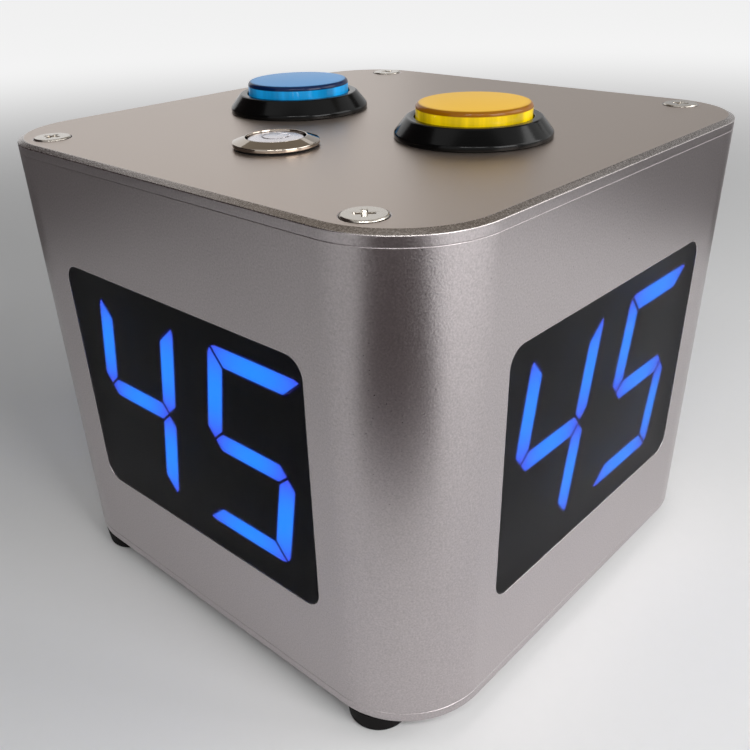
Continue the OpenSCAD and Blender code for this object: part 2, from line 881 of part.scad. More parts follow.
module small_screw() {
    head_r = 2.7;
    head_h = 1.6;
    shank_r = 1.45;
    shank_l = 5.5;
    difference() {
        union() {
            cylinder(r = head_r, h = head_h);
            translate([0, 0, -shank_l]) cylinder(r = shank_r, h = shank_l + 0.5);
        }
        translate([0, 0, head_h]) cross_slot(2.8, 0.6, 0.8, 0);
    }
}

module board_screws() {
    color(nickel) {
        at_main_holes() translate([0, 0, main_z + board_t]) small_screw();
        for (k = [0 : 3]) on_side(k)
            for (sx = [-1, 1], sy = [-1, 1])
                translate([sx * post_x, sy * post_y, -board_depth - board_t])
                    rotate([180, 0, 0]) small_screw();
    }
}

module charge_socket() {
    shell_t = 0.3;
    mouth = 0.3;
    back_t = 1.2;
    tongue = [6.7, 0.7, 4.6];
    color(steel) on_side(2) translate([0, socket_z - window_z, -mouth - socket_l]) {
        difference() {
            linear_extrude(height = socket_l) stadium(socket_w, socket_h);
            translate([0, 0, back_t]) linear_extrude(height = socket_l)
                stadium(socket_w - 2 * shell_t, socket_h - 2 * shell_t);
        }
        translate([-tongue[0] / 2, -tongue[1] / 2, back_t - 0.2]) cube(tongue);
    }
}

module buzzer() {
    chamber_h = 1.5;
    throat_r = 1.5;
    color(black) translate([buzzer_pos[0], buzzer_pos[1], sleeve_z]) difference() {
        cylinder(r = buzzer_r, h = buzzer_h);
        translate([0, 0, -1]) cylinder(r = buzzer_r - 1.2, h = chamber_h + 1);
        translate([0, 0, -1]) cylinder(r = throat_r, h = 6);
    }
}

module battery_holder() {
    holder_l = cell_l + 12;
    holder_w = 2 * cell_pitch + 2;
    holder_h = 14;
    slot_w = 17.2;
    color(black) difference() {
        translate([-holder_l / 2, battery_y - holder_w / 2, sleeve_z])
            cube([holder_l, holder_w, holder_h]);
        for (s = [-1, 1])
            translate([-bay_l / 2, battery_y + s * cell_pitch / 2, bay_z]) rotate([0, 90, 0])
                cylinder(r = bay_r, h = bay_l);
        for (s = [-1, 1])
            translate([-bay_l / 2, battery_y + s * cell_pitch / 2 - slot_w / 2, bay_z])
                cube([bay_l, slot_w, holder_h]);
    }
}

// The two cells lie head to tail
module at_cells() {
    for (s = [-1, 1])
        translate([0, battery_y + s * cell_pitch / 2, cell_z]) rotate([0, 0, s < 0 ? 180 : 0])
            children();
}

// Bent leaf that stands against an end of the bay and reaches to the cell
module contact_leaf(reach) {
    leaf_w = 8;
    leaf_t = 0.4;
    rotate([90, 0, 0]) linear_extrude(height = leaf_w, center = true) polygon([
        [0, -5], [0, 3.2], [0.5, 3.2], [reach, 0.8], [reach, -0.8], [0.9, -4], [0.55, -3.7],
        [reach - leaf_t, -0.7], [reach - leaf_t, 0.6], [leaf_t, 2.7], [leaf_t, -5]
    ]);
}

module battery_contacts() {
    gap = (bay_l - cell_l) / 2;
    color(nickel) at_cells() {
        translate([-bay_l / 2, 0, 0]) contact_leaf(gap);
        translate([bay_l / 2, 0, 0]) mirror([1, 0, 0]) contact_leaf(gap - cell_tip_h);
    }
}

module battery_cells() {
    tip_r = 3;
    color(cell_green) at_cells() translate([-cell_l / 2, 0, 0]) rotate([0, 90, 0]) {
        cylinder(r = cell_r, h = cell_l);
        cylinder(r = tip_r, h = cell_l + cell_tip_h);
    }
}

body_sleeve();
top_plate();
base_plate();
lid_screws();
foot_screws();
rubber_feet();
window_front();
window_right();
window_back();
window_left();
display_frame_front();
display_frame_right();
display_frame_back();
display_frame_left();
display_module_front();
display_module_right();
display_module_back();
display_module_left();
lit_segments_front();
lit_segments_right();
lit_segments_back();
lit_segments_left();
display_board_front();
display_board_right();
display_board_back();
display_board_left();
unlit_segments();
blue_button_housing();
blue_button_cap();
blue_button_plunger();
blue_button_nut();
blue_button_spring();
blue_button_lamp();
blue_switch_body();
blue_switch_lever();
blue_switch_pin();
yellow_button_housing();
yellow_button_cap();
yellow_button_plunger();
yellow_button_nut();
yellow_button_spring();
yellow_button_lamp();
yellow_switch_body();
yellow_switch_lever();
yellow_switch_pin();
power_button_body();
power_button_cap();
power_button_spring();
power_button_seal();
power_button_nut();
power_button_terminals();
main_board();
board_standoffs();
board_screws();
charge_socket();
buzzer();
battery_holder();
battery_contacts();
battery_cells();
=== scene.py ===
import bpy
import bmesh
import math
from mathutils import Matrix, Vector


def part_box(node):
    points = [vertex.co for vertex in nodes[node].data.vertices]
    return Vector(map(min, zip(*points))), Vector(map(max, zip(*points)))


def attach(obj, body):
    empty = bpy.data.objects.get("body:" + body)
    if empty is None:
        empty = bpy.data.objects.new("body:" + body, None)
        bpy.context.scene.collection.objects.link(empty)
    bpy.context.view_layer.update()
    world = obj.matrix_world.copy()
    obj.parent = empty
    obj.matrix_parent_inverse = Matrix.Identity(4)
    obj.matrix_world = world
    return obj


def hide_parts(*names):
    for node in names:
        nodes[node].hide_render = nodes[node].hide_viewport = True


mm = 0.001  # the timer's sizes are in millimetres, Blender and the studio are in metres
facing = 0.9  # how much of a normal or an edge has to point one way to count as facing it
hair = 0.01  # keeps the two arcs of a full round end apart, and is the leeway of a level

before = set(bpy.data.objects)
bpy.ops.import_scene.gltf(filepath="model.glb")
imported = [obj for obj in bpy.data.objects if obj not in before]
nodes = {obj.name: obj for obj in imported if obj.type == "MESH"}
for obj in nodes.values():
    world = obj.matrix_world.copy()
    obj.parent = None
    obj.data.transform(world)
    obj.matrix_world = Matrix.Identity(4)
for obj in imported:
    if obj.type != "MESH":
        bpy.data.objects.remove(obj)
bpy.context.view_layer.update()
sides = ["front", "right", "back", "left"]  # each a quarter turn on from the one before
print("timer: frame loaded,", len(nodes), "nodes")

# Levels and places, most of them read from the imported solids
sleeveLow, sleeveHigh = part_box("body_sleeve")
lidLow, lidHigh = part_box("top_plate")
topLevel = lidHigh.z / mm
lidLevel = lidLow.z / mm
sleeveLevel = sleeveLow.z / mm
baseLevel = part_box("base_plate")[0].z / mm
bodyWide = (sleeveHigh.x - sleeveLow.x) / mm


def nodeMiddle(node):  # rounded to a micrometre
    low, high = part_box(node)
    return [round((a + b) / 2 / mm, 3) for a, b in zip(low, high)]


buttonX = nodeMiddle("yellow_button_housing")[0]
powerY = nodeMiddle("power_button_body")[1]
screwX, screwY = 46, 55
screwPlaces = [(sx * screwX, sy * screwY) for sx in (-1, 1) for sy in (-1, 1)]


# Small helpers, used by every piece
def letGo():
    if bpy.context.object and bpy.context.object.mode != "OBJECT":
        bpy.ops.object.mode_set(mode="OBJECT")
    bpy.ops.object.select_all(action="DESELECT")


def takeUp(piece):
    letGo()
    piece.select_set(True)
    bpy.context.view_layer.objects.active = piece


def nameIt(name):
    piece = bpy.context.object
    piece.name = name
    piece.data.name = name
    return piece


def fixPlace(piece):
    takeUp(piece)
    bpy.ops.object.transform_apply(location=True, rotation=True, scale=True)


def startEdit(piece, mode="FACE"):
    takeUp(piece)
    bpy.ops.object.mode_set(mode="EDIT")
    bpy.ops.mesh.select_mode(type=mode)
    bpy.ops.mesh.select_all(action="DESELECT")


def pickFaces(test):  # test gets a face's middle and normal
    bpy.ops.mesh.select_mode(type="FACE")
    bpy.ops.mesh.select_all(action="DESELECT")
    shape = bmesh.from_edit_mesh(bpy.context.object.data)
    for face in shape.faces:
        face.select_set(bool(test(face.calc_center_median(), face.normal)))
    bmesh.update_edit_mesh(bpy.context.object.data)


def pickEdges(test):  # test gets an edge's two ends
    bpy.ops.mesh.select_mode(type="EDGE")
    bpy.ops.mesh.select_all(action="DESELECT")
    shape = bmesh.from_edit_mesh(bpy.context.object.data)
    for edge in shape.edges:
        edge.select_set(bool(test(edge.verts[0].co, edge.verts[1].co)))
    bmesh.update_edit_mesh(bpy.context.object.data)


def applyModifier(piece, kind, **settings):
    takeUp(piece)
    step = piece.modifiers.new(kind.lower(), kind)
    for key, value in settings.items():
        setattr(step, key, value)
    bpy.ops.object.modifier_apply(modifier=step.name)


def cutOut(piece, *cutters):
    for cutter in cutters:
        applyModifier(piece, "BOOLEAN", object=cutter, operation="DIFFERENCE", solver="EXACT")
        bpy.data.objects.remove(cutter)


def joinTo(piece, *others):
    takeUp(piece)
    for other in others:
        other.select_set(True)
    bpy.ops.object.join()


def softenEdges(piece, width, steps=3, angle=30):
    takeUp(piece)
    bpy.ops.object.shade_smooth()
    applyModifier(
        piece, "BEVEL", width=width * mm, segments=steps, limit_method="ANGLE",
        angle_limit=math.radians(angle), use_clamp_overlap=False,
    )
    applyModifier(piece, "WEIGHTED_NORMAL", weight=90, keep_sharp=False)


def roundedBlock(name, size, middle, radius, steps=8, upright=2):
    letGo()
    bpy.ops.mesh.primitive_cube_add(size=1, location=[c * mm for c in middle])
    block = nameIt(name)
    block.scale = [s * mm for s in size]
    fixPlace(block)
    startEdit(block, "EDGE")
    pickEdges(lambda a, b: abs((b - a).normalized()[upright]) > facing)
    bpy.ops.mesh.bevel(offset=radius * mm, segments=steps, affect="EDGES")
    letGo()
    return block


def drum(name, middle, radius, low, high, steps=48, tip=None):
    letGo()
    bpy.ops.mesh.primitive_cone_add(
        vertices=steps, radius1=radius * mm, radius2=(radius if tip is None else tip) * mm,
        depth=(high - low) * mm,
        location=(middle[0] * mm, middle[1] * mm, (low + high) / 2 * mm),
    )
    piece = nameIt(name)
    fixPlace(piece)
    return piece


def turnedPiece(name, middle, profile, steps=96, ring=True):
    # a circle is drawn out ring by ring along a profile of [radius, level]
    letGo()
    x, y, z = [c * mm for c in middle]
    radius, level = profile[0]
    bpy.ops.mesh.primitive_circle_add(
        vertices=steps, radius=radius * mm, location=(x, y, z + level * mm)
    )
    piece = nameIt(name)
    fixPlace(piece)
    startEdit(piece, "EDGE")
    bpy.ops.mesh.select_all(action="SELECT")
    for nextRadius, nextLevel in profile[1:]:
        rise = (nextLevel - level) * mm
        grow = nextRadius / radius
        bpy.ops.mesh.extrude_region_move(TRANSFORM_OT_translate={"value": (0, 0, rise)})
        bpy.ops.transform.resize(value=(grow, grow, 1), center_override=(x, y, z))
        radius, level = nextRadius, nextLevel
    bpy.ops.mesh.select_all(action="DESELECT")
    bpy.ops.mesh.select_non_manifold()
    if ring:
        bpy.ops.mesh.bridge_edge_loops()
    else:
        bpy.ops.mesh.fill_holes(sides=0)
    bpy.ops.mesh.select_all(action="SELECT")
    bpy.ops.mesh.normals_make_consistent(inside=False)
    letGo()
    return piece


def copyOf(piece, name):
    twin = piece.copy()
    twin.data = piece.data.copy()
    twin.name = name
    twin.data.name = name
    bpy.context.scene.collection.objects.link(twin)
    return twin


def turnBy(piece, degrees):  # about the upright axis through the middle of the timer
    piece.data.transform(Matrix.Rotation(math.radians(degrees), 4, "Z"))


def moveTo(piece, place):
    piece.data.transform(Matrix.Translation((place[0] * mm, place[1] * mm, 0)))


def seat(piece, body, slot, *stoodFor):
    letGo()
    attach(piece, body)
    if stoodFor:
        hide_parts(*stoodFor)


def dress(piece, *surfaces):
    piece.data.materials.clear()
    for surface in surfaces:
        piece.data.materials.append(surface)


# Node helpers for the materials and the room
def addNode(tree, kind, place=(0, 0), **settings):
    node = tree.nodes.new(kind)
    node.location = place
    for key, value in settings.items():
        setattr(node, key, value)
    return node


def feed(tree, source, target):
    tree.links.new(source, target)


def mathStep(tree, operation, place, *parts):  # a part is a number or another node's output
    node = addNode(tree, "ShaderNodeMath", place, operation=operation)
    for part, socket in zip(parts, node.inputs):
        if isinstance(part, (int, float)):
            socket.default_value = part
        else:
            feed(tree, part, socket)
    return node.outputs[0]


def newGroup(name, inputs, outputs):
    group = bpy.data.node_groups.new(name, "ShaderNodeTree")
    for label, kind, value in inputs:
        socket = group.interface.new_socket(label, in_out="INPUT", socket_type=kind)
        if value is not None:
            socket.default_value = value
    for label, kind in outputs:
        group.interface.new_socket(label, in_out="OUTPUT", socket_type=kind)
    inside = addNode(group, "NodeGroupInput", (-800, 0))
    outside = addNode(group, "NodeGroupOutput", (600, 0))
    return group, inside.outputs, outside.inputs


def placeGroup(tree, group, place=(-500, 0), **values):
    node = addNode(tree, "ShaderNodeGroup", place)
    node.node_tree = group
    for key, value in values.items():
        node.inputs[key].default_value = value
    return node


def newSurface(name, colour, roughness, metallic=0.0, **sockets):
    surface = bpy.data.materials.new(name)
    surface.use_nodes = True
    tree = surface.node_tree
    shader = tree.nodes["Principled BSDF"]
    shader.inputs["Base Color"].default_value = (*colour, 1)
    shader.inputs["Roughness"].default_value = roughness
    shader.inputs["Metallic"].default_value = metallic
    for key, value in sockets.items():
        shader.inputs[key.replace("_", " ")].default_value = value
    surface.diffuse_color = (*colour, 1)
    return surface, tree, shader


# Fine grain that all moulded, blasted and plated finishes share, with a little cloudiness
grainLook = {"fineShare": 1.6, "fineDetail": 3, "cloudShare": 0.4, "clouds": 18, "cloudDetail": 4,
             "bump": 0.0001}
grainGroup, grainIn, grainOut = newGroup(
    "fineGrain",
    [
        ("Place", "NodeSocketVector", None),
        ("Grains Per Metre", "NodeSocketFloat", 2500.0),
        ("Colour", "NodeSocketColor", (0.5, 0.5, 0.5, 1)),
        ("Colour Change", "NodeSocketFloat", 0.1),
        ("Roughness", "NodeSocketFloat", 0.4),
        ("Roughness Change", "NodeSocketFloat", 0.1),
        ("Depth", "NodeSocketFloat", 0.2),
    ],
    [
        ("Colour", "NodeSocketColor"),
        ("Roughness", "NodeSocketFloat"),
        ("Normal", "NodeSocketVector"),
    ],
)
grainNoise = addNode(grainGroup, "ShaderNodeTexNoise", (-560, 120))
grainNoise.inputs["Detail"].default_value = grainLook["fineDetail"]
feed(grainGroup, grainIn["Place"], grainNoise.inputs["Vector"])
feed(grainGroup, grainIn["Grains Per Metre"], grainNoise.inputs["Scale"])
cloudNoise = addNode(grainGroup, "ShaderNodeTexNoise", (-560, -120))
cloudNoise.inputs["Scale"].default_value = grainLook["clouds"]
cloudNoise.inputs["Detail"].default_value = grainLook["cloudDetail"]
feed(grainGroup, grainIn["Place"], cloudNoise.inputs["Vector"])
grainMiddle = -(grainLook["fineShare"] + grainLook["cloudShare"]) / 2
cloudPart = mathStep(
    grainGroup, "MULTIPLY_ADD", (-360, -120), cloudNoise.outputs["Fac"], grainLook["cloudShare"],
    grainMiddle,
)
grainMix = mathStep(  # about -1 to 1
    grainGroup, "MULTIPLY_ADD", (-360, 60), grainNoise.outputs["Fac"], grainLook["fineShare"],
    cloudPart,
)
colourStep = mathStep(
    grainGroup, "MULTIPLY_ADD", (-180, 120), grainMix, grainIn["Colour Change"], 1
)
colourScale = addNode(grainGroup, "ShaderNodeVectorMath", (20, 160), operation="SCALE")
feed(grainGroup, grainIn["Colour"], colourScale.inputs[0])
feed(grainGroup, colourStep, colourScale.inputs["Scale"])
feed(grainGroup, colourScale.outputs[0], grainOut["Colour"])
roughStep = mathStep(
    grainGroup, "MULTIPLY_ADD", (-180, -60), grainMix, grainIn["Roughness Change"],
    grainIn["Roughness"],
)
feed(grainGroup, roughStep, grainOut["Roughness"])
grainBump = addNode(grainGroup, "ShaderNodeBump", (20, -160))
grainBump.inputs["Distance"].default_value = grainLook["bump"]
feed(grainGroup, grainNoise.outputs["Fac"], grainBump.inputs["Height"])
feed(grainGroup, grainIn["Depth"], grainBump.inputs["Strength"])
feed(grainGroup, grainBump.outputs["Normal"], grainOut["Normal"])


def grainySurface(name, colour, roughness, metallic=0.0, grains=2500.0, colourChange=0.08,
                  roughChange=0.08, depth=0.2, **sockets):
    surface, tree, shader = newSurface(name, colour, roughness, metallic, **sockets)
    where = addNode(tree, "ShaderNodeTexCoord", (-760, 0))
    grain = placeGroup(tree, grainGroup, (-480, 0), **{
        "Grains Per Metre": grains, "Colour": (*colour, 1), "Colour Change": colourChange,
        "Roughness": roughness, "Roughness Change": roughChange, "Depth": depth,
    })
    feed(tree, where.outputs["Object"], grain.inputs["Place"])
    feed(tree, grain.outputs["Colour"], shader.inputs["Base Color"])
    feed(tree, grain.outputs["Roughness"], shader.inputs["Roughness"])
    feed(tree, grain.outputs["Normal"], shader.inputs["Normal"])
    return surface


# The camera stands where the photograph was taken from
photoCamera = {
    "place": (0.13085, -0.14560, 0.14625),
    "turn": (60.0615, 1.3904, 42.0786),
    "sensor": 36,
    "lens": 39.976,
    "shift": (0.00228, 0.04393),
    "nearest": 0.01,
}
bpy.ops.object.camera_add(
    location=photoCamera["place"], rotation=[math.radians(a) for a in photoCamera["turn"]]
)
camera = bpy.context.object
camera.name = "photoCamera"
camera.data.sensor_width = photoCamera["sensor"]
camera.data.lens = photoCamera["lens"]
camera.data.shift_x, camera.data.shift_y = photoCamera["shift"]
camera.data.clip_start = photoCamera["nearest"]
bpy.context.scene.camera = camera

# Four soft lamps in a pale room, and cards, grey or dark, that only reflections see
studio = {
    "roomColour": (0.80, 0.80, 0.80),
    "roomStrength": 0.22,
    "backdrop": (0.93, 0.93, 0.93),
    "floorSize": 6,
    "aim": (0, 0, 0.06),
    "lamps": [
        {"name": "keyBox", "place": (0.45, 0.35, 0.38), "size": (0.35, 0.35), "power": 1.3},
        {"name": "rightBox", "place": (0.55, -0.05, 0.35), "size": (0.3, 0.3), "power": 1.9},
        {"name": "frontBoxLeft", "place": (0.19, -0.35, 0.45), "size": (0.12, 0.06), "power": 0.35},
        {"name": "frontBoxRight", "place": (0.31, -0.25, 0.45), "size": (0.12, 0.06), "power": 0.35},
    ],
    "cards": [
        {"name": "frontCard", "place": (0.156, -0.194, 0.0615), "turn": (35, 0, -145),
         "size": (0.19, 0.20), "tone": (0.02, 0.005, 0.005)},
        {"name": "leftCard", "place": (-0.565, -0.368, 0.55), "turn": (80, 0, 128),
         "size": (1.28, 1.0), "tone": (0.02, 0.01, 0.01)},
        {"name": "backCard", "place": (-0.30, 0.95, 0.36), "turn": (80, 0, 17),
         "size": (0.8, 0.7), "tone": (0.5, 0.5, 0.5)},
        {"name": "overheadCard", "place": (0.180, -0.215, 0.62), "turn": (0, 0, 40),
         "size": (0.85, 0.16), "tone": (0.15, 0.15, 0.15)},
        {"name": "ceilingCard", "place": (-0.25, 0.30, 0.62), "turn": (0, 0, 40),
         "size": (0.9, 0.66), "tone": (0.27, 0.24, 0.20)},
        {"name": "floorLeftCard", "place": (-0.62, -0.30, 0.002), "turn": (0, 0, 0),
         "size": (0.66, 0.9), "tone": (0.05, 0.045, 0.045)},
        {"name": "floorBackCard", "place": (0.33, 0.68, 0.002), "turn": (0, 0, 0),
         "size": (0.6, 0.8), "tone": (0.04, 0.035, 0.035)},
        {"name": "edgeCard", "place": (-0.02, 0.96, 0.60), "turn": (80, 0, 17),
         "size": (0.5, 0.22), "tone": (0.06, 0.055, 0.05)},
    ],
}
for lamp in studio["lamps"]:
    bpy.ops.object.light_add(type="AREA", location=lamp["place"])
    box = bpy.context.object
    box.name = lamp["name"]
    throw = Vector(studio["aim"]) - box.location
    box.rotation_euler = throw.to_track_quat("-Z", "Y").to_euler()
    box.data.shape = "RECTANGLE"
    box.data.size, box.data.size_y = lamp["size"]
    box.data.energy = lamp["power"]
    box.visible_camera = False

# The camera, reflections and glass see the backdrop, and the rest is lit by the room
room = bpy.data.worlds.new("room")
bpy.context.scene.world = room
room.use_nodes = True
roomTree = room.node_tree
roomTree.nodes.clear()
roomPath = addNode(roomTree, "ShaderNodeLightPath", (-600, 0))
mirrorRays = mathStep(
    roomTree, "MAXIMUM", (-400, -100), roomPath.outputs["Is Glossy Ray"],
    roomPath.outputs["Is Transmission Ray"],
)
seeingRays = mathStep(
    roomTree, "MAXIMUM", (-200, 0), roomPath.outputs["Is Camera Ray"], mirrorRays
)
roomLight = addNode(roomTree, "ShaderNodeBackground", (-200, -200))
roomLight.inputs["Color"].default_value = (*studio["roomColour"], 1)
roomLight.inputs["Strength"].default_value = studio["roomStrength"]
roomSeen = addNode(roomTree, "ShaderNodeBackground", (-200, -400))
roomSeen.inputs["Color"].default_value = (*studio["backdrop"], 1)
roomSeen.inputs["Strength"].default_value = 1
roomMix = addNode(roomTree, "ShaderNodeMixShader", (0, 0))
feed(roomTree, seeingRays, roomMix.inputs["Fac"])
feed(roomTree, roomLight.outputs[0], roomMix.inputs[1])
feed(roomTree, roomSeen.outputs[0], roomMix.inputs[2])
roomOut = addNode(roomTree, "ShaderNodeOutputWorld", (200, 0))
feed(roomTree, roomMix.outputs[0], roomOut.inputs["Surface"])
bpy.context.scene.view_settings.view_transform = "Standard"

# Far from the timer the floor's paper is lit by itself, and it has no sheen
floorGlow = {"from": 0.2, "full": 1.15, "strength": 0.72}
floorPaint = grainySurface(
    "floorPaint", (0.86, 0.86, 0.86), 0.6, grains=300, colourChange=0.01, depth=0.02,
    Specular_IOR_Level=0.0, Emission_Strength=1.0,
)
floorTree = floorPaint.node_tree
floorPlace = addNode(floorTree, "ShaderNodeTexCoord", (-760, -300))
floorReach = addNode(floorTree, "ShaderNodeVectorMath", (-560, -300), operation="LENGTH")
feed(floorTree, floorPlace.outputs["Object"], floorReach.inputs[0])
floorFade = addNode(floorTree, "ShaderNodeMapRange", (-380, -300), interpolation_type="SMOOTHERSTEP")
floorFade.inputs["From Min"].default_value = floorGlow["from"]
floorFade.inputs["From Max"].default_value = floorGlow["full"]
floorFade.inputs["To Max"].default_value = floorGlow["strength"]
feed(floorTree, floorReach.outputs["Value"], floorFade.inputs["Value"])
feed(
    floorTree, floorFade.outputs["Result"],
    floorTree.nodes["Principled BSDF"].inputs["Emission Color"],
)
letGo()
bpy.ops.mesh.primitive_plane_add(size=studio["floorSize"], location=(0, 0, 0))
floor = nameIt("studioFloor")
dress(floor, floorPaint)

for card in studio["cards"]:
    bpy.ops.mesh.primitive_plane_add(
        size=1, location=card["place"], rotation=[math.radians(a) for a in card["turn"]]
    )
    sheet = nameIt(card["name"])
    sheet.scale = (*card["size"], 1)
    for kind in ("camera", "diffuse", "transmission", "volume_scatter", "shadow"):
        setattr(sheet, "visible_" + kind, False)
    dress(sheet, grainySurface(
        card["name"], (0.02, 0.018, 0.018), 0.9, grains=400, depth=0.02,
        Emission_Color=(*card["tone"], 1), Emission_Strength=1.0,
    ))
print("timer: camera, lamps and floor set")

# Metals
blastedAluminium = grainySurface(
    "blastedAluminium", (0.49, 0.450, 0.455), 0.30, 1.0, grains=2800, colourChange=0.4,
    roughChange=0.06, depth=0.35,
)
# The lid's bevel: darker than the sides, painted shade that tones down the lamps' bright line along
# it
shadedBevelAluminium = grainySurface(
    "shadedBevelAluminium", (0.42, 0.385, 0.37), 0.26, 1.0, grains=2700, colourChange=0.8,
    roughChange=0.1, depth=0.2,
)
satinAluminium = grainySurface(
    "satinAluminium", (0.485, 0.412, 0.364), 0.36, 1.0, grains=5200, colourChange=0.05,
    roughChange=0.05, depth=0.12,
)
nickelScrew = grainySurface(
    "nickelScrew", (0.50, 0.46, 0.41), 0.2, 1.0, grains=4000, colourChange=0.05, depth=0.1
)
polishedSteel = grainySurface(
    "polishedSteel", (0.44, 0.385, 0.33), 0.05, 1.0, grains=3000, colourChange=0.03,
    roughChange=0.02, depth=0.02,
)
satinSteel = grainySurface(
    "satinSteel", (0.72, 0.69, 0.72), 0.28, 1.0, grains=5000, colourChange=0.03,
    roughChange=0.04, depth=0.05,
)
springSteel = grainySurface("springSteel", (0.55, 0.55, 0.56), 0.3, 1.0, depth=0.05)

# Plastics, rubber and what is inside
glossBlack = grainySurface(
    "glossBlack", (0.002, 0.002, 0.002), 0.15, grains=3000, roughChange=0.04, depth=0.02,
    Specular_IOR_Level=0.15,
)
mattBlack = grainySurface("mattBlack", (0.02, 0.02, 0.021), 0.55, grains=2200, depth=0.25)
footRubber = grainySurface(
    "footRubber", (0.006, 0.005, 0.005), 0.7, grains=1800, depth=0.35, Specular_IOR_Level=0.12
)
displayShell = grainySurface(
    "displayShell", (0.004, 0.004, 0.005), 0.5, depth=0.0, Specular_IOR_Level=0.1
)
darkEpoxy = grainySurface(
    "darkEpoxy", (0.006, 0.006, 0.008), 0.4, depth=0.0, Specular_IOR_Level=0.1
)
milkyPlastic = grainySurface(
    "milkyPlastic", (0.86, 0.86, 0.84), 0.4, depth=0.05, Subsurface_Weight=0.2
)
redPlastic = grainySurface("redPlastic", (0.5, 0.03, 0.03), 0.35, depth=0.05)
boardGreen = grainySurface("boardGreen", (0.02, 0.13, 0.06), 0.35, grains=1200, depth=0.1)
cellWrap = grainySurface("cellWrap", (0.03, 0.22, 0.10), 0.3, grains=900, depth=0.05)
smokedAcrylic = newSurface(
    "smokedAcrylic", (0.35, 0.35, 0.37), 0.28, Transmission_Weight=1.0, IOR=1.1
)[0]

# A push button's clear cap is coloured in three bands told apart by height: a collar brightened with
# painted light and painted streaks of light, a rim darkened with painted shade, and the tinted top
capLook = {
    "rimLow": 5.7,
    "rimHigh": 6.65,
    "lowBlend": 0.12,
    "highBlend": 0.1,
    # the collar's painted streaks of light, soft brighter and dimmer bands round the cap
    "paintedStreaks": 2.2,
    "paintedStreakDetail": 3,
    "paintedStreakRange": (0.35, 0.7),
    "paintedStreakTones": (0.6, 1.3),
    "collarGloss": 0.4,
    "rimGloss": 0.3,
    "topGloss": 0.07,
}
capGroup, capIn, capOut = newGroup(
    "capZones",
    [
        ("Place", "NodeSocketVector", None),
        ("Middle X", "NodeSocketFloat", 0.0),
        ("Rim Low", "NodeSocketFloat", (topLevel + capLook["rimLow"]) * mm),
        ("Rim High", "NodeSocketFloat", (topLevel + capLook["rimHigh"]) * mm),
        ("Top", "NodeSocketColor", None),
        ("Rim", "NodeSocketColor", None),
        ("Collar", "NodeSocketColor", None),
    ],
    [("Colour", "NodeSocketColor"), ("Gloss", "NodeSocketFloat")],
)
capSplit = addNode(capGroup, "ShaderNodeSeparateXYZ", (-620, 200))
feed(capGroup, capIn["Place"], capSplit.inputs[0])


def heightStep(level, blend, place):
    step = addNode(capGroup, "ShaderNodeMapRange", place, interpolation_type="SMOOTHSTEP")
    feed(capGroup, capSplit.outputs["Z"], step.inputs["Value"])
    for end, operation, drop in (("From Min", "SUBTRACT", 40), ("From Max", "ADD", 200)):
        edge = mathStep(
            capGroup, operation, (place[0] - 180, place[1] - drop), capIn[level], blend * mm
        )
        feed(capGroup, edge, step.inputs[end])
    return step.outputs["Result"]


def blendOf(kind, share, place, low, high):  # low and high are numbers or node outputs
    node = addNode(capGroup, "ShaderNodeMix", place, data_type=kind)
    feed(capGroup, share, node.inputs["Factor"])
    first, out = {"FLOAT": (2, 0), "RGBA": (6, 2)}[kind]
    for part, socket in zip((low, high), (node.inputs[first], node.inputs[first + 1])):
        if isinstance(part, float):
            socket.default_value = part
        else:
            feed(capGroup, part, socket)
    return node.outputs[out]


aboveCollar = heightStep("Rim Low", capLook["lowBlend"], (-200, 300))
aboveRim = heightStep("Rim High", capLook["highBlend"], (-200, 20))
sideways = mathStep(
    capGroup, "SUBTRACT", (-440, -220), capSplit.outputs["X"], capIn["Middle X"]
)
aroundCap = mathStep(capGroup, "ARCTAN2", (-280, -220), capSplit.outputs["Y"], sideways)
# painted streaks of light: noise round the cap's axis brightens and dims the collar
paintedStreakNoise = addNode(capGroup, "ShaderNodeTexNoise", (-100, -220), noise_dimensions="1D")
paintedStreakNoise.inputs["Scale"].default_value = capLook["paintedStreaks"]
paintedStreakNoise.inputs["Detail"].default_value = capLook["paintedStreakDetail"]
feed(capGroup, aroundCap, paintedStreakNoise.inputs["W"])
paintedStreakShare = addNode(capGroup, "ShaderNodeMapRange", (80, -220))
for i in (0, 1):
    paintedStreakShare.inputs[1 + i].default_value = capLook["paintedStreakRange"][i]
    paintedStreakShare.inputs[3 + i].default_value = capLook["paintedStreakTones"][i]
feed(capGroup, paintedStreakNoise.outputs["Fac"], paintedStreakShare.inputs["Value"])
collarTone = addNode(capGroup, "ShaderNodeVectorMath", (120, -40), operation="SCALE")
feed(capGroup, capIn["Collar"], collarTone.inputs[0])
feed(capGroup, paintedStreakShare.outputs["Result"], collarTone.inputs["Scale"])
# collar, rim and top colours are joined; the rim's dark colour is painted shade, and the collar's
# brightness is painted light
sideTone = blendOf("RGBA", aboveCollar, (300, 160), collarTone.outputs[0], capIn["Rim"])
wholeTone = blendOf("RGBA", aboveRim, (460, 200), sideTone, capIn["Top"])
feed(capGroup, wholeTone, capOut["Colour"])
sideGloss = blendOf(
    "FLOAT", aboveCollar, (300, -160), capLook["collarGloss"], capLook["rimGloss"]
)
wholeGloss = blendOf("FLOAT", aboveRim, (460, -160), sideGloss, capLook["topGloss"])
feed(capGroup, wholeGloss, capOut["Gloss"])


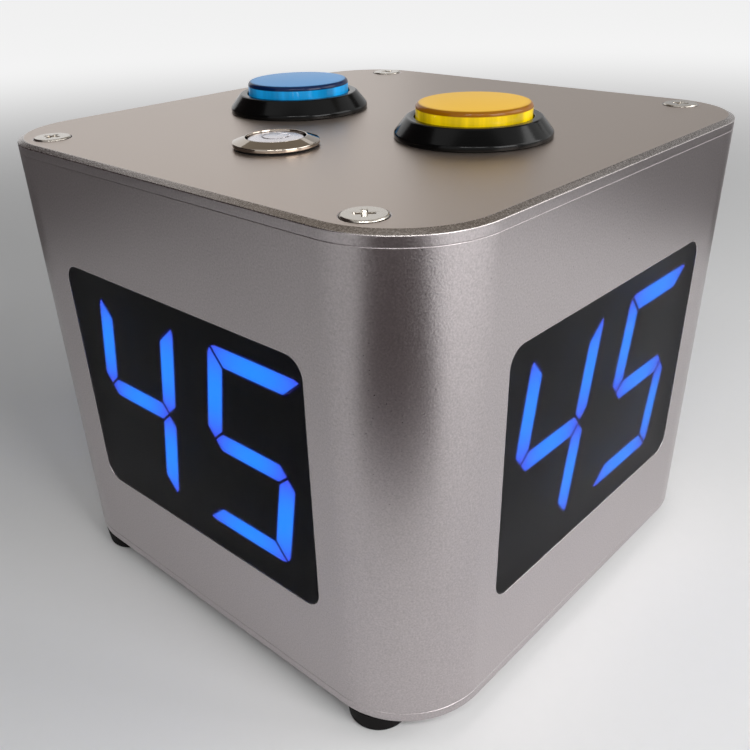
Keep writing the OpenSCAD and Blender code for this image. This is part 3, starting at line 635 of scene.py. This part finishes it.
def tintedAcrylic(name, middleX, top, rim, collar, glow):
    surface, tree, shader = newSurface(
        name, top, 0.3, Coat_Roughness=0.05, Coat_IOR=1.49, Specular_IOR_Level=0.06,
        Emission_Strength=glow,
    )
    where = addNode(tree, "ShaderNodeTexCoord", (-760, 0))
    zones = placeGroup(tree, capGroup, (-480, 0), **{
        "Middle X": middleX * mm, "Top": (*top, 1), "Rim": (*rim, 1), "Collar": (*collar, 1),
    })
    feed(tree, where.outputs["Object"], zones.inputs["Place"])
    feed(tree, zones.outputs["Colour"], shader.inputs["Base Color"])
    # the same colours glow at strength glow: a painted glow of light coming through the clear cap,
    # and no lamp is lit in the button
    feed(tree, zones.outputs["Colour"], shader.inputs["Emission Color"])
    feed(tree, zones.outputs["Gloss"], shader.inputs["Coat Weight"])
    return surface


# colours of top, rim and collar, then the glow; the dark rim is painted shade, and the bright collar
# and the glow are painted light
blueAcrylic = tintedAcrylic(
    "blueAcrylic", -buttonX, (0.05, 0.25, 0.55), (0.0, 0.008, 0.045), (0.005, 0.27, 0.62), 0.3
)
amberAcrylic = tintedAcrylic(
    "amberAcrylic", buttonX, (0.76, 0.44, 0.02), (0.21, 0.075, 0.0), (0.72, 0.50, 0.002), 0.35
)

# How far a point is from the middle of its bar, along it and across it
reachGroup, reachIn, reachOut = newGroup(
    "barReach",
    [("Across", "NodeSocketFloat", 0.3)],
    [("Reach", "NodeSocketFloat")],
)
barPlace = addNode(reachGroup, "ShaderNodeUVMap", (-760, -160), uv_map="along")
barSplit = addNode(reachGroup, "ShaderNodeSeparateXYZ", (-580, -160))
feed(reachGroup, barPlace.outputs["UV"], barSplit.inputs[0])
barCurves = []
for axis, steepness, height in (("X", 2.2, 0), ("Y", 4, -160)):
    fromMiddle = mathStep(reachGroup, "ABSOLUTE", (-380, height), barSplit.outputs[axis])
    barCurves.append(mathStep(reachGroup, "POWER", (-200, height), fromMiddle, steepness))
barReach = mathStep(
    reachGroup, "MULTIPLY_ADD", (0, -100), barCurves[1], reachIn["Across"], barCurves[0]
)
feed(reachGroup, barReach, reachOut["Reach"])


def glowingSurface(name, base, roughness, across, strength, *stops):
    # each stop is a reach from the middle of the bar and the colour of the light there
    surface, tree, shader = newSurface(name, base, roughness, Emission_Strength=strength)
    reach = placeGroup(tree, reachGroup, (-700, 0), Across=across)
    ramp = addNode(tree, "ShaderNodeValToRGB", (-480, 0))
    for element, (position, colour) in zip(ramp.color_ramp.elements, stops):
        element.position = position
        element.color = (*colour, 1)
    feed(tree, reach.outputs["Reach"], ramp.inputs["Fac"])
    feed(tree, ramp.outputs["Color"], shader.inputs["Emission Color"])
    return surface


# The lit segments are brightest where each one's lamp sits, and a faint halo lies round them
litBlue = glowingSurface(
    "litBlue", (0.02, 0.05, 0.2), 0.3, 0.3, 3.1,
    (0.0, (0.015, 0.25, 1.0)), (1.0, (0.05, 0.07, 0.8)),
)
haloBlue = glowingSurface(
    "haloBlue", (0.004, 0.004, 0.006), 0.5, 1.0, 1.0,
    (0.5, (0.004, 0.002, 0.25)), (1.0, (0, 0, 0.002)),
)

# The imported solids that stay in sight, or would if the case came off
for surface, names in (
    (nickelScrew, ["foot_screws", "board_screws", "board_standoffs", "battery_contacts",
                   "power_button_nut"]),
    (darkEpoxy, ["unlit_segments"]),
    (boardGreen, ["main_board"]),
    (polishedSteel, ["charge_socket"]),
    (mattBlack, ["buzzer", "battery_holder", "power_button_terminals"]),
    (cellWrap, ["battery_cells"]),
    (springSteel, ["power_button_spring"]),
    (footRubber, ["power_button_seal"]),
):
    for name in names:
        dress(nodes[name], surface)
for side in sides:
    dress(nodes["display_frame_" + side], mattBlack)
    dress(nodes["display_module_" + side], displayShell)
    dress(nodes["display_board_" + side], boardGreen)
for tint in ("blue", "yellow"):
    for name, surface in (
        ("button_nut", glossBlack), ("button_plunger", milkyPlastic),
        ("button_spring", springSteel), ("button_lamp", milkyPlastic),
        ("switch_body", mattBlack), ("switch_lever", springSteel), ("switch_pin", redPlastic),
    ):
        dress(nodes[tint + "_" + name], surface)
print("timer: finishes made")

overlong = 10  # how much longer a cutter is than what it cuts
overcut = 1  # how far a drill stands out at each end

# Sleeve, cut through for its hollow, the windows and the charging slot
housing = {
    "cornerRadius": 20,
    "cornerSteps": 28,
    "wall": 1.8,
    "softEdge": 0.1,
    "windowWide": 75,
    "windowTall": 56,
    "windowRadius": 4,
    "windowDrop": 52.5,
    "slotWide": 9.34,
    "slotTall": 3.66,
    "slotDeep": 20,
    "slotLevel": 15.73,
}
windowLevel = topLevel - housing["windowDrop"]
sleeveTall = lidLevel - sleeveLevel
sleeveMiddle = (lidLevel + sleeveLevel) / 2
sleeve = roundedBlock(
    "timerSleeve", (bodyWide, bodyWide, sleeveTall), (0, 0, sleeveMiddle),
    housing["cornerRadius"], housing["cornerSteps"],
)
innerWide = bodyWide - 2 * housing["wall"]
cutOut(
    sleeve,
    roundedBlock(
        "hollow", (innerWide, innerWide, sleeveTall + overlong), (0, 0, sleeveMiddle),
        housing["cornerRadius"] - housing["wall"], housing["cornerSteps"],
    ),
    roundedBlock(
        "windowCutY", (housing["windowWide"], bodyWide + overlong, housing["windowTall"]),
        (0, 0, windowLevel), housing["windowRadius"], upright=1,
    ),
    roundedBlock(
        "windowCutX", (bodyWide + overlong, housing["windowWide"], housing["windowTall"]),
        (0, 0, windowLevel), housing["windowRadius"], upright=0,
    ),
    roundedBlock(
        "chargeSlot", (housing["slotWide"], housing["slotDeep"], housing["slotTall"]),
        (0, bodyWide / 2, housing["slotLevel"]), housing["slotTall"] / 2 - hair, upright=1,
    ),
)
softenEdges(sleeve, housing["softEdge"], angle=35)
dress(sleeve, blastedAluminium)
seat(sleeve, "case", "anodised_aluminium", "body_sleeve")

# Lid, bevelled all round, with sinks that leave a thin dark ring round the screw heads
lid = {
    "bevelWide": 1.4,
    "bevelTall": 0.65,
    "softEdge": 0.15,
    "screwHole": 2.2,
    "screwHoleSteps": 32,
    "sinkRadius": 4.15,
    "sinkDepth": 1.8,
    "buttonHole": 13.95,
    "buttonHoleSteps": 72,
    "powerHole": 8,
    "faceNormal": 0.98,
    "bevelNormal": 0.3,
}
shoulderLevel = topLevel - lid["bevelTall"]
topPlate = roundedBlock(
    "timerLid", (bodyWide, bodyWide, shoulderLevel - lidLevel),
    (0, 0, (shoulderLevel + lidLevel) / 2), housing["cornerRadius"], housing["cornerSteps"],
)
startEdit(topPlate)
pickFaces(lambda middle, normal: normal.z > facing)
bpy.ops.mesh.inset(thickness=lid["bevelWide"] * mm, depth=0)
bpy.ops.transform.translate(value=(0, 0, lid["bevelTall"] * mm))
letGo()
lidThrough = (lidLevel - overcut, topLevel + overcut)
cutters = [drum("hole", (0, powerY), lid["powerHole"], *lidThrough)]
for x in (-buttonX, buttonX):
    cutters.append(drum("hole", (x, 0), lid["buttonHole"], *lidThrough, lid["buttonHoleSteps"]))
for place in screwPlaces:
    cutters.append(drum("hole", place, lid["screwHole"], *lidThrough, lid["screwHoleSteps"]))
    cutters.append(drum(
        "sink", place, lid["screwHole"], topLevel - lid["sinkDepth"], topLevel,
        tip=lid["sinkRadius"],
    ))
cutOut(topPlate, *cutters)
softenEdges(topPlate, lid["softEdge"], angle=15)
dress(topPlate, satinAluminium, shadedBevelAluminium, blastedAluminium)
for face in topPlate.data.polygons:  # only the upper face is ground smooth
    if face.normal.z > lid["faceNormal"]:
        face.material_index = 0
    else:
        # the bevel gets the darker aluminium, painted shade, and the sides get the blasted one
        face.material_index = 1 if face.normal.z > lid["bevelNormal"] else 2
seat(topPlate, "case", "anodised_aluminium", "top_plate")
print("timer: housing modelled")

# Base plate, feet side down, with the buzzer's sound holes
base = {
    "edge": 0.6,
    "edgeSteps": 4,
    "softEdge": 0.2,
    "soundPlace": (50, -20),
    "soundRadius": 0.8,
    "soundRing": 3.2,
    "soundHoles": 6,
    "soundSteps": 20,
}
basePlate = roundedBlock(
    "timerBase", (bodyWide, bodyWide, sleeveLevel - baseLevel),
    (0, 0, (sleeveLevel + baseLevel) / 2), housing["cornerRadius"], housing["cornerSteps"],
)
startEdit(basePlate, "EDGE")
pickEdges(lambda a, b: max(a.z, b.z) < (baseLevel + hair) * mm)
bpy.ops.mesh.bevel(offset=base["edge"] * mm, segments=base["edgeSteps"], affect="EDGES")
letGo()
baseThrough = (baseLevel - overcut, sleeveLevel + overcut)
soundX, soundY = base["soundPlace"]
soundPlaces = [(soundX, soundY)]
for i in range(base["soundHoles"]):
    around = math.radians(360 * i / base["soundHoles"])
    soundPlaces.append((
        soundX + base["soundRing"] * math.cos(around),
        soundY + base["soundRing"] * math.sin(around),
    ))
cutters = []
for place in soundPlaces:
    cutters.append(drum("sound", place, base["soundRadius"], *baseThrough, base["soundSteps"]))
for place in screwPlaces:
    cutters.append(drum("hole", place, lid["screwHole"], *baseThrough, lid["screwHoleSteps"]))
cutOut(basePlate, *cutters)
softenEdges(basePlate, base["softEdge"], angle=35)
dress(basePlate, blastedAluminium)
seat(basePlate, "case", "anodised_aluminium", "base_plate")

# Rubber feet, one turned and copied to each corner, hollow below for the screw's head
foot = {
    "topRadius": 7,
    "lowRadius": 6.5,
    "round": 0.5,
    "wellRadius": 4.3,
    "web": 2,
    "hole": 2.2,
    "softEdge": 0.25,
    "steps": 64,
}
rubberFoot = turnedPiece("rubberFootFirst", (0, 0, 0), [
    [foot["hole"], baseLevel], [foot["topRadius"], baseLevel],
    [foot["lowRadius"], foot["round"]], [foot["lowRadius"] - foot["round"], 0],
    [foot["wellRadius"], 0], [foot["wellRadius"], baseLevel - foot["web"]],
    [foot["hole"], baseLevel - foot["web"]],
], foot["steps"])
softenEdges(rubberFoot, foot["softEdge"], angle=25)
dress(rubberFoot, footRubber)
for i, place in enumerate(screwPlaces):
    one = copyOf(rubberFoot, "rubberFoot" + str(i + 1))
    moveTo(one, place)
    seat(one, "case", "black_rubber", "rubber_feet")
bpy.data.objects.remove(rubberFoot)

# Countersunk screws in the lid, one modelled and copied to each corner
screw = {
    "steps": 48,
    "centreHole": 0.3,
    "headRadius": 3.9,
    "headDepth": 2,
    "proud": 0.3,
    "edge": 0.25,
    "shank": 1.95,
    "long": 12,
    "slotLong": 5,
    "slotWide": 1.3,
    "slotDeep": 1.4,
    "slotRound": 0.3,
    "slotTaper": (0.45, 0.6),
    "softEdge": 0.06,
    "turns": [25, 70, 42, 8],
}
screwFace = topLevel + screw["proud"]
lidScrew = turnedPiece(
    "lidScrewFirst", (0, 0, topLevel),
    [
        [screw["centreHole"], screw["proud"]],
        [screw["headRadius"] - screw["edge"], screw["proud"]],
        [screw["headRadius"], 0], [screw["shank"], -screw["headDepth"]],
        [screw["shank"], -screw["long"]], [screw["centreHole"], -screw["long"]],
    ], screw["steps"], ring=False,
)
for turn in (0, 90):
    slotCut = roundedBlock(
        "slotCut", (screw["slotLong"], screw["slotWide"], screw["slotDeep"] * 2),
        (0, 0, screwFace), screw["slotRound"], 3,
    )
    startEdit(slotCut)
    pickFaces(lambda middle, normal: normal.z < -facing)
    bpy.ops.transform.resize(value=(*screw["slotTaper"], 1), center_override=(0, 0, 0))
    letGo()
    turnBy(slotCut, turn)
    cutOut(lidScrew, slotCut)
softenEdges(lidScrew, screw["softEdge"], 2, 25)
dress(lidScrew, nickelScrew)
for i, (place, turn) in enumerate(zip(screwPlaces, screw["turns"])):
    one = copyOf(lidScrew, "lidScrew" + str(i + 1))
    turnBy(one, turn)
    moveTo(one, place)
    seat(one, "case", "nickel_plated_steel", "lid_screws")
bpy.data.objects.remove(lidScrew)
print("timer: plates and screws modelled")

# Windows: smoked panels, one modelled and turned to each side
pane = {"thick": 1.55, "recess": 0.1, "gap": 0.1, "edge": 0.12}
paneMiddle = -bodyWide / 2 + pane["recess"] + pane["thick"] / 2
firstPane = roundedBlock(
    "firstPane",
    (
        housing["windowWide"] - 2 * pane["gap"], pane["thick"],
        housing["windowTall"] - 2 * pane["gap"],
    ),
    (0, paneMiddle, windowLevel), housing["windowRadius"] - pane["gap"], upright=1,
)
softenEdges(firstPane, pane["edge"], 2, 35)
dress(firstPane, smokedAcrylic)
for quarter, side in enumerate(sides):
    panel = copyOf(firstPane, "smokedPanel_" + side)
    turnBy(panel, 90 * quarter)
    seat(panel, "case", "smoked_acrylic", "window_" + side)
bpy.data.objects.remove(firstPane)

# Digits: each segment is a bar trimmed at its ends, standing in the module's cell
digit = {
    "shown": "45",
    "wide": 26.3,
    "tall": 44.9,
    "pitch": 37.5,
    "lean": 10,
    "upright": 4.4,
    "level": 4.2,
    "gap": 0.6,
    "corner": 2.4,
    "waistGap": 0.5,
    "face": 1.82,
    "deep": 6.9,
    "halo": 0.55,
    "haloFace": 1.84,
    "haloDeep": 0.01,
    "levelRounding": (80, 68, 56),
    "uprightRounding": (10, 22, 34),
}
glyphs = {
    "0": "abcdef", "1": "bc", "2": "abdeg", "3": "abcdg", "4": "bcfg",
    "5": "acdfg", "6": "acdefg", "7": "abc", "8": "abcdefg", "9": "abcdfg",
}


def cornerCuts(angles):  # each cut is a point of the digit's round corner and its outward normal
    corner = digit["corner"]
    cuts = []
    for angle in angles:
        out, up = math.cos(math.radians(angle)), math.sin(math.radians(angle))
        cuts.append((
            digit["wide"] / 2 - corner + corner * out, digit["tall"] / 2 - corner + corner * up,
            out, up,
        ))
    return cuts


def barOfDigit(letter, middleX, face, deep, grow):
    # x and y lie in the plane of the digit; grow widens the bar on every side
    halfWide = digit["wide"] / 2
    halfTall = digit["tall"] / 2
    upright, level, waistGap = digit["upright"], digit["level"], digit["waistGap"]
    mitre = digit["gap"] / math.sqrt(2)
    waistTip = halfWide - upright / 2 + waistGap - digit["gap"] * math.sqrt(2)
    if letter in "ad":
        up = 1 if letter == "a" else -1
        size = (2 * halfWide, level)
        middle = (0, up * (halfTall - level / 2))
        endCuts = [(halfWide - upright - mitre, halfTall - level, 1, -1)]
        endCuts += cornerCuts(digit["levelRounding"])
        cuts = [(s * x, up * y, s * nx, up * ny) for x, y, nx, ny in endCuts for s in (-1, 1)]
    elif letter == "g":
        size = (2 * waistTip, level)
        middle = (0, 0)
        cuts = [(s * waistTip, 0, s, t) for s in (-1, 1) for t in (-1, 1)]
    else:
        up = 1 if letter in "bf" else -1
        out = 1 if letter in "bc" else -1
        long = halfTall - waistGap
        size = (upright, long)
        middle = (out * (halfWide - upright / 2), up * (waistGap + long / 2))
        endCuts = [
            (halfWide - upright, halfTall - level - mitre, -1, 1),
            (halfWide - upright / 2, waistGap, 1, -1),
            (halfWide - upright / 2, waistGap, -1, -1),
        ]
        endCuts += cornerCuts(digit["uprightRounding"])
        cuts = [(out * x, up * y, out * nx, up * ny) for x, y, nx, ny in endCuts]
    letGo()
    bpy.ops.mesh.primitive_cube_add(size=1, location=(0, 0, 0))
    bar = nameIt("bar")
    bar.scale = ((size[0] + 2 * grow) * mm, (size[1] + 2 * grow) * mm, deep * mm)
    bar.location = (middle[0] * mm, middle[1] * mm, -(face + deep / 2) * mm)
    fixPlace(bar)
    startEdit(bar)
    for x, y, nx, ny in cuts:
        length = math.hypot(nx, ny)
        bpy.ops.mesh.select_all(action="SELECT")
        bpy.ops.mesh.bisect(
            plane_co=((x + grow * nx / length) * mm, (y + grow * ny / length) * mm, 0),
            plane_no=(nx, ny, 0), use_fill=True, clear_outer=True,
        )
    letGo()
    along = bar.data.uv_layers.new(name="along")
    longSide = 0 if size[0] > size[1] else 1
    for loop in bar.data.loops:  # u runs -1 to 1 along the bar, v across it
        spot = bar.data.vertices[loop.vertex_index].co
        uv = [(spot[k] / mm - middle[k]) / (size[k] / 2 + grow) for k in (0, 1)]
        along.data[loop.index].uv = (uv[longSide], uv[1 - longSide])
    slant = math.tan(math.radians(digit["lean"]))
    bar.data.transform(Matrix((
        (1, slant, 0, middleX * mm),
        (0, 1, 0, 0),
        (0, 0, 1, 0),
        (0, 0, 0, 1),
    )))
    return bar


def numberPiece(name, face, deep, grow):
    bars = []
    for place, figure in zip((-1, 1), digit["shown"]):
        for letter in glyphs[figure]:
            bars.append(barOfDigit(letter, place * digit["pitch"] / 2, face, deep, grow))
    joinTo(bars[0], *bars[1:])
    piece = nameIt(name)
    stand = Matrix.Translation((0, -bodyWide / 2 * mm, windowLevel * mm))
    piece.data.transform(stand @ Matrix.Rotation(math.radians(90), 4, "X"))
    return piece


firstNumber = numberPiece("firstNumber", digit["face"], digit["deep"], 0)
dress(firstNumber, litBlue)
firstHalo = numberPiece("firstHalo", digit["haloFace"], digit["haloDeep"], digit["halo"])
dress(firstHalo, haloBlue)
for quarter, side in enumerate(sides):
    number = copyOf(firstNumber, "litNumber_" + side)
    turnBy(number, 90 * quarter)
    seat(number, "case", "lit_epoxy", "lit_segments_" + side)
    halo = copyOf(firstHalo, "numberHalo_" + side)
    turnBy(halo, 90 * quarter)
    seat(halo, "case", "display_shell")
bpy.data.objects.remove(firstNumber)
bpy.data.objects.remove(firstHalo)
print("timer: windows and numbers modelled")

# Push buttons: black flange and barrel, clear coloured cap over the milky plunger
button = {
    "steps": 128,
    "capRadius": 12,
    "capGap": 0.3,
    "flangeRadius": 16.5,
    "flangeTall": 4,
    "flangeTop": 14,
    "rim": 1,
    "barrel": 13.8,
    "barrelBore": 12,
    "barrelEnd": -26,
    "shelf": -10,
    "shelfThick": 2,
    "shelfBore": 8,
    "edgeLevel": 5.75,
    "faceLevel": 6.7,
    "faceRadius": 11.1,
    "crown": 0.3,
    "wall": 1.4,
    "skirt": -1,
    "ceiling": 4.8,
    "centreHole": 0.4,
    "shellSoftEdge": 0.3,
    "capSoftEdge": 0.08,
    "roundSteps": 8,
    "crownSteps": 12,
}
ear = {  # two ears below the barrel hold the switch, each on two posts
    "x": 5.3,
    "thick": 2,
    "wide": 23.2,
    "end": -43.2,
    "drop": 2,
    "round": 0.8,
    "postY": 7.6,
    "postWide": 8,
    "postTall": 4,
    "postRound": 0.4,
}


def buttonHousing(name, x):
    bore = button["capRadius"] + button["capGap"]
    shelfLow = button["shelf"] - button["shelfThick"]
    shell = turnedPiece(name, (x, 0, topLevel), [
        [bore, button["flangeTall"]], [button["flangeTop"], button["flangeTall"]],
        [button["flangeRadius"], button["rim"]], [button["flangeRadius"], 0],
        [button["barrel"], 0], [button["barrel"], button["barrelEnd"]],
        [button["barrelBore"], button["barrelEnd"]], [button["barrelBore"], shelfLow],
        [button["shelfBore"], shelfLow], [button["shelfBore"], button["shelf"]],
        [bore, button["shelf"]],
    ], button["steps"])
    softenEdges(shell, button["shellSoftEdge"], angle=25)
    holders = []
    for out in (-1, 1):
        earX = x + out * (ear["x"] + ear["thick"] / 2)
        earTall = button["barrelEnd"] - ear["drop"] - ear["end"]
        holders.append(roundedBlock(
            "ear", (ear["thick"], ear["wide"], earTall),
            (earX, 0, topLevel + ear["end"] + earTall / 2), ear["round"], 3, upright=0,
        ))
        for end in (-1, 1):
            holders.append(roundedBlock(
                "earPost", (ear["thick"], ear["postWide"], ear["postTall"]),
                (earX, end * ear["postY"], topLevel + button["barrelEnd"] - ear["drop"] / 2),
                ear["postRound"], 2, upright=0,
            ))
    joinTo(shell, *holders)
    dress(shell, glossBlack)
    return shell


def buttonCap(name, x, surface):
    faceRadius, faceLevel = button["faceRadius"], button["faceLevel"]
    rounding = []
    for i in range(button["roundSteps"] + 1):
        t = math.radians(90 * i / button["roundSteps"])
        rounding.append([
            faceRadius + (button["capRadius"] - faceRadius) * math.cos(t),
            button["edgeLevel"] + (faceLevel - button["edgeLevel"]) * math.sin(t),
        ])
    crown = []
    for i in range(1, button["crownSteps"]):
        u = 1 - i / button["crownSteps"]
        crown.append([faceRadius * u, faceLevel + button["crown"] * (1 - u * u)])
    inner = button["capRadius"] - button["wall"]
    cap = turnedPiece(name, (x, 0, topLevel), [
        [button["centreHole"], button["ceiling"]], [inner, button["ceiling"]],
        [inner, button["skirt"]], [button["capRadius"], button["skirt"]], *rounding, *crown,
    ], button["steps"], ring=False)
    softenEdges(cap, button["capSoftEdge"], 2, 40)
    dress(cap, surface)
    return cap


for tint, out, surface in (("blue", -1, blueAcrylic), ("yellow", 1, amberAcrylic)):
    shell = buttonHousing(tint + "Flange", out * buttonX)
    seat(shell, "case", "gloss_black_plastic", tint + "_button_housing")
    cap = buttonCap(tint + "Cap", out * buttonX, surface)
    seat(cap, tint + "_plunger", tint + "_cap", tint + "_button_cap")
print("timer: push buttons modelled")

# Power button: polished cone, flat cap with the ring and bar of the power sign
power = {
    "steps": 128,
    "capSteps": 96,
    "centreHole": 0.3,
    "flange": 8.9,
    "seal": 0.4,
    "rim": 1.15,
    "top": 2.1,
    "faceRadius": 6.25,
    "bore": 6.08,
    "boreDrop": 0.2,
    "barrel": 7.9,
    "barrelEnd": -20,
    "socket": 6.4,
    "shelf": -9,
    "shelfThick": 1.5,
    "capRadius": 5.78,
    "capEdge": 0.2,
    "capTop": 1.65,
    "crown": 0.4,
    "discThick": 2.2,
    "stem": 3,
    "stemGap": 0.08,
    "stemEnd": -12.3,
    "profileSteps": 12,
    "softEdge": 0.2,
    "capSoftEdge": 0.05,
}
sign = {  # a ring with a gap at the back, and a bar that stands in the gap
    "radius": 2.75,
    "line": 0.16,
    "ringSteps": 72,
    "lineSteps": 10,
    "gap": 30,
    "barY": 2.3,
    "barWide": 0.4,
    "barLong": 2.1,
}
powerShelfLow = power["shelf"] - power["shelfThick"]
stemBore = power["stem"] + power["stemGap"]
powerBody = turnedPiece("powerBody", (0, powerY, topLevel), [
    [power["bore"], power["top"] - power["boreDrop"]], [power["faceRadius"], power["top"]],
    [power["flange"], power["rim"]], [power["flange"], power["seal"]],
    [power["barrel"], power["seal"]], [power["barrel"], power["barrelEnd"]],
    [power["socket"], power["barrelEnd"]], [power["socket"], powerShelfLow],
    [stemBore, powerShelfLow], [stemBore, power["shelf"]], [power["bore"], power["shelf"]],
], power["steps"])
softenEdges(powerBody, power["softEdge"], 4, 25)
dress(powerBody, polishedSteel)
seat(powerBody, "case", "polished_steel", "power_button_body")

powerFaceRadius = power["capRadius"] - power["capEdge"]
powerDiscLow = power["capTop"] - power["discThick"]


def powerCapLevel(radius):
    return power["capTop"] + power["crown"] * (1 - (radius / powerFaceRadius) ** 2)


crownSteps = power["profileSteps"]
crownRadii = [powerFaceRadius * i / crownSteps for i in range(1, crownSteps + 1)]
powerCap = turnedPiece("powerCap", (0, powerY, topLevel), [
    *[[radius, powerCapLevel(radius)] for radius in crownRadii],
    [power["capRadius"], power["capTop"] - power["capEdge"]], [power["capRadius"], powerDiscLow],
    [power["stem"], powerDiscLow], [power["stem"], power["stemEnd"]],
    [power["centreHole"], power["stemEnd"]],
], power["capSteps"], ring=False)
signLevel = topLevel + powerCapLevel(sign["radius"])
letGo()
bpy.ops.mesh.primitive_torus_add(
    location=(0, powerY * mm, signLevel * mm), major_radius=sign["radius"] * mm,
    minor_radius=sign["line"] * mm, major_segments=sign["ringSteps"],
    minor_segments=sign["lineSteps"],
)
signRing = nameIt("signRing")
fixPlace(signRing)
gapSlope = math.tan(math.radians(sign["gap"]))
startEdit(signRing)
pickFaces(lambda middle, normal: middle.y - powerY * mm > abs(middle.x) / gapSlope)
bpy.ops.mesh.delete(type="FACE")
bpy.ops.mesh.select_mode(type="EDGE")
bpy.ops.mesh.select_non_manifold()
bpy.ops.mesh.fill_holes(sides=0)
letGo()
signBar = roundedBlock(
    "signBar", (sign["barWide"], sign["barLong"], 2 * sign["line"]),
    (0, powerY + sign["barY"], signLevel), sign["barWide"] / 2 - hair, 4,
)
cutOut(powerCap, signRing, signBar)
softenEdges(powerCap, power["capSoftEdge"], 2)
dress(powerCap, satinSteel)
seat(powerCap, "power_plunger", "polished_steel", "power_button_cap")
print("timer: power button modelled")
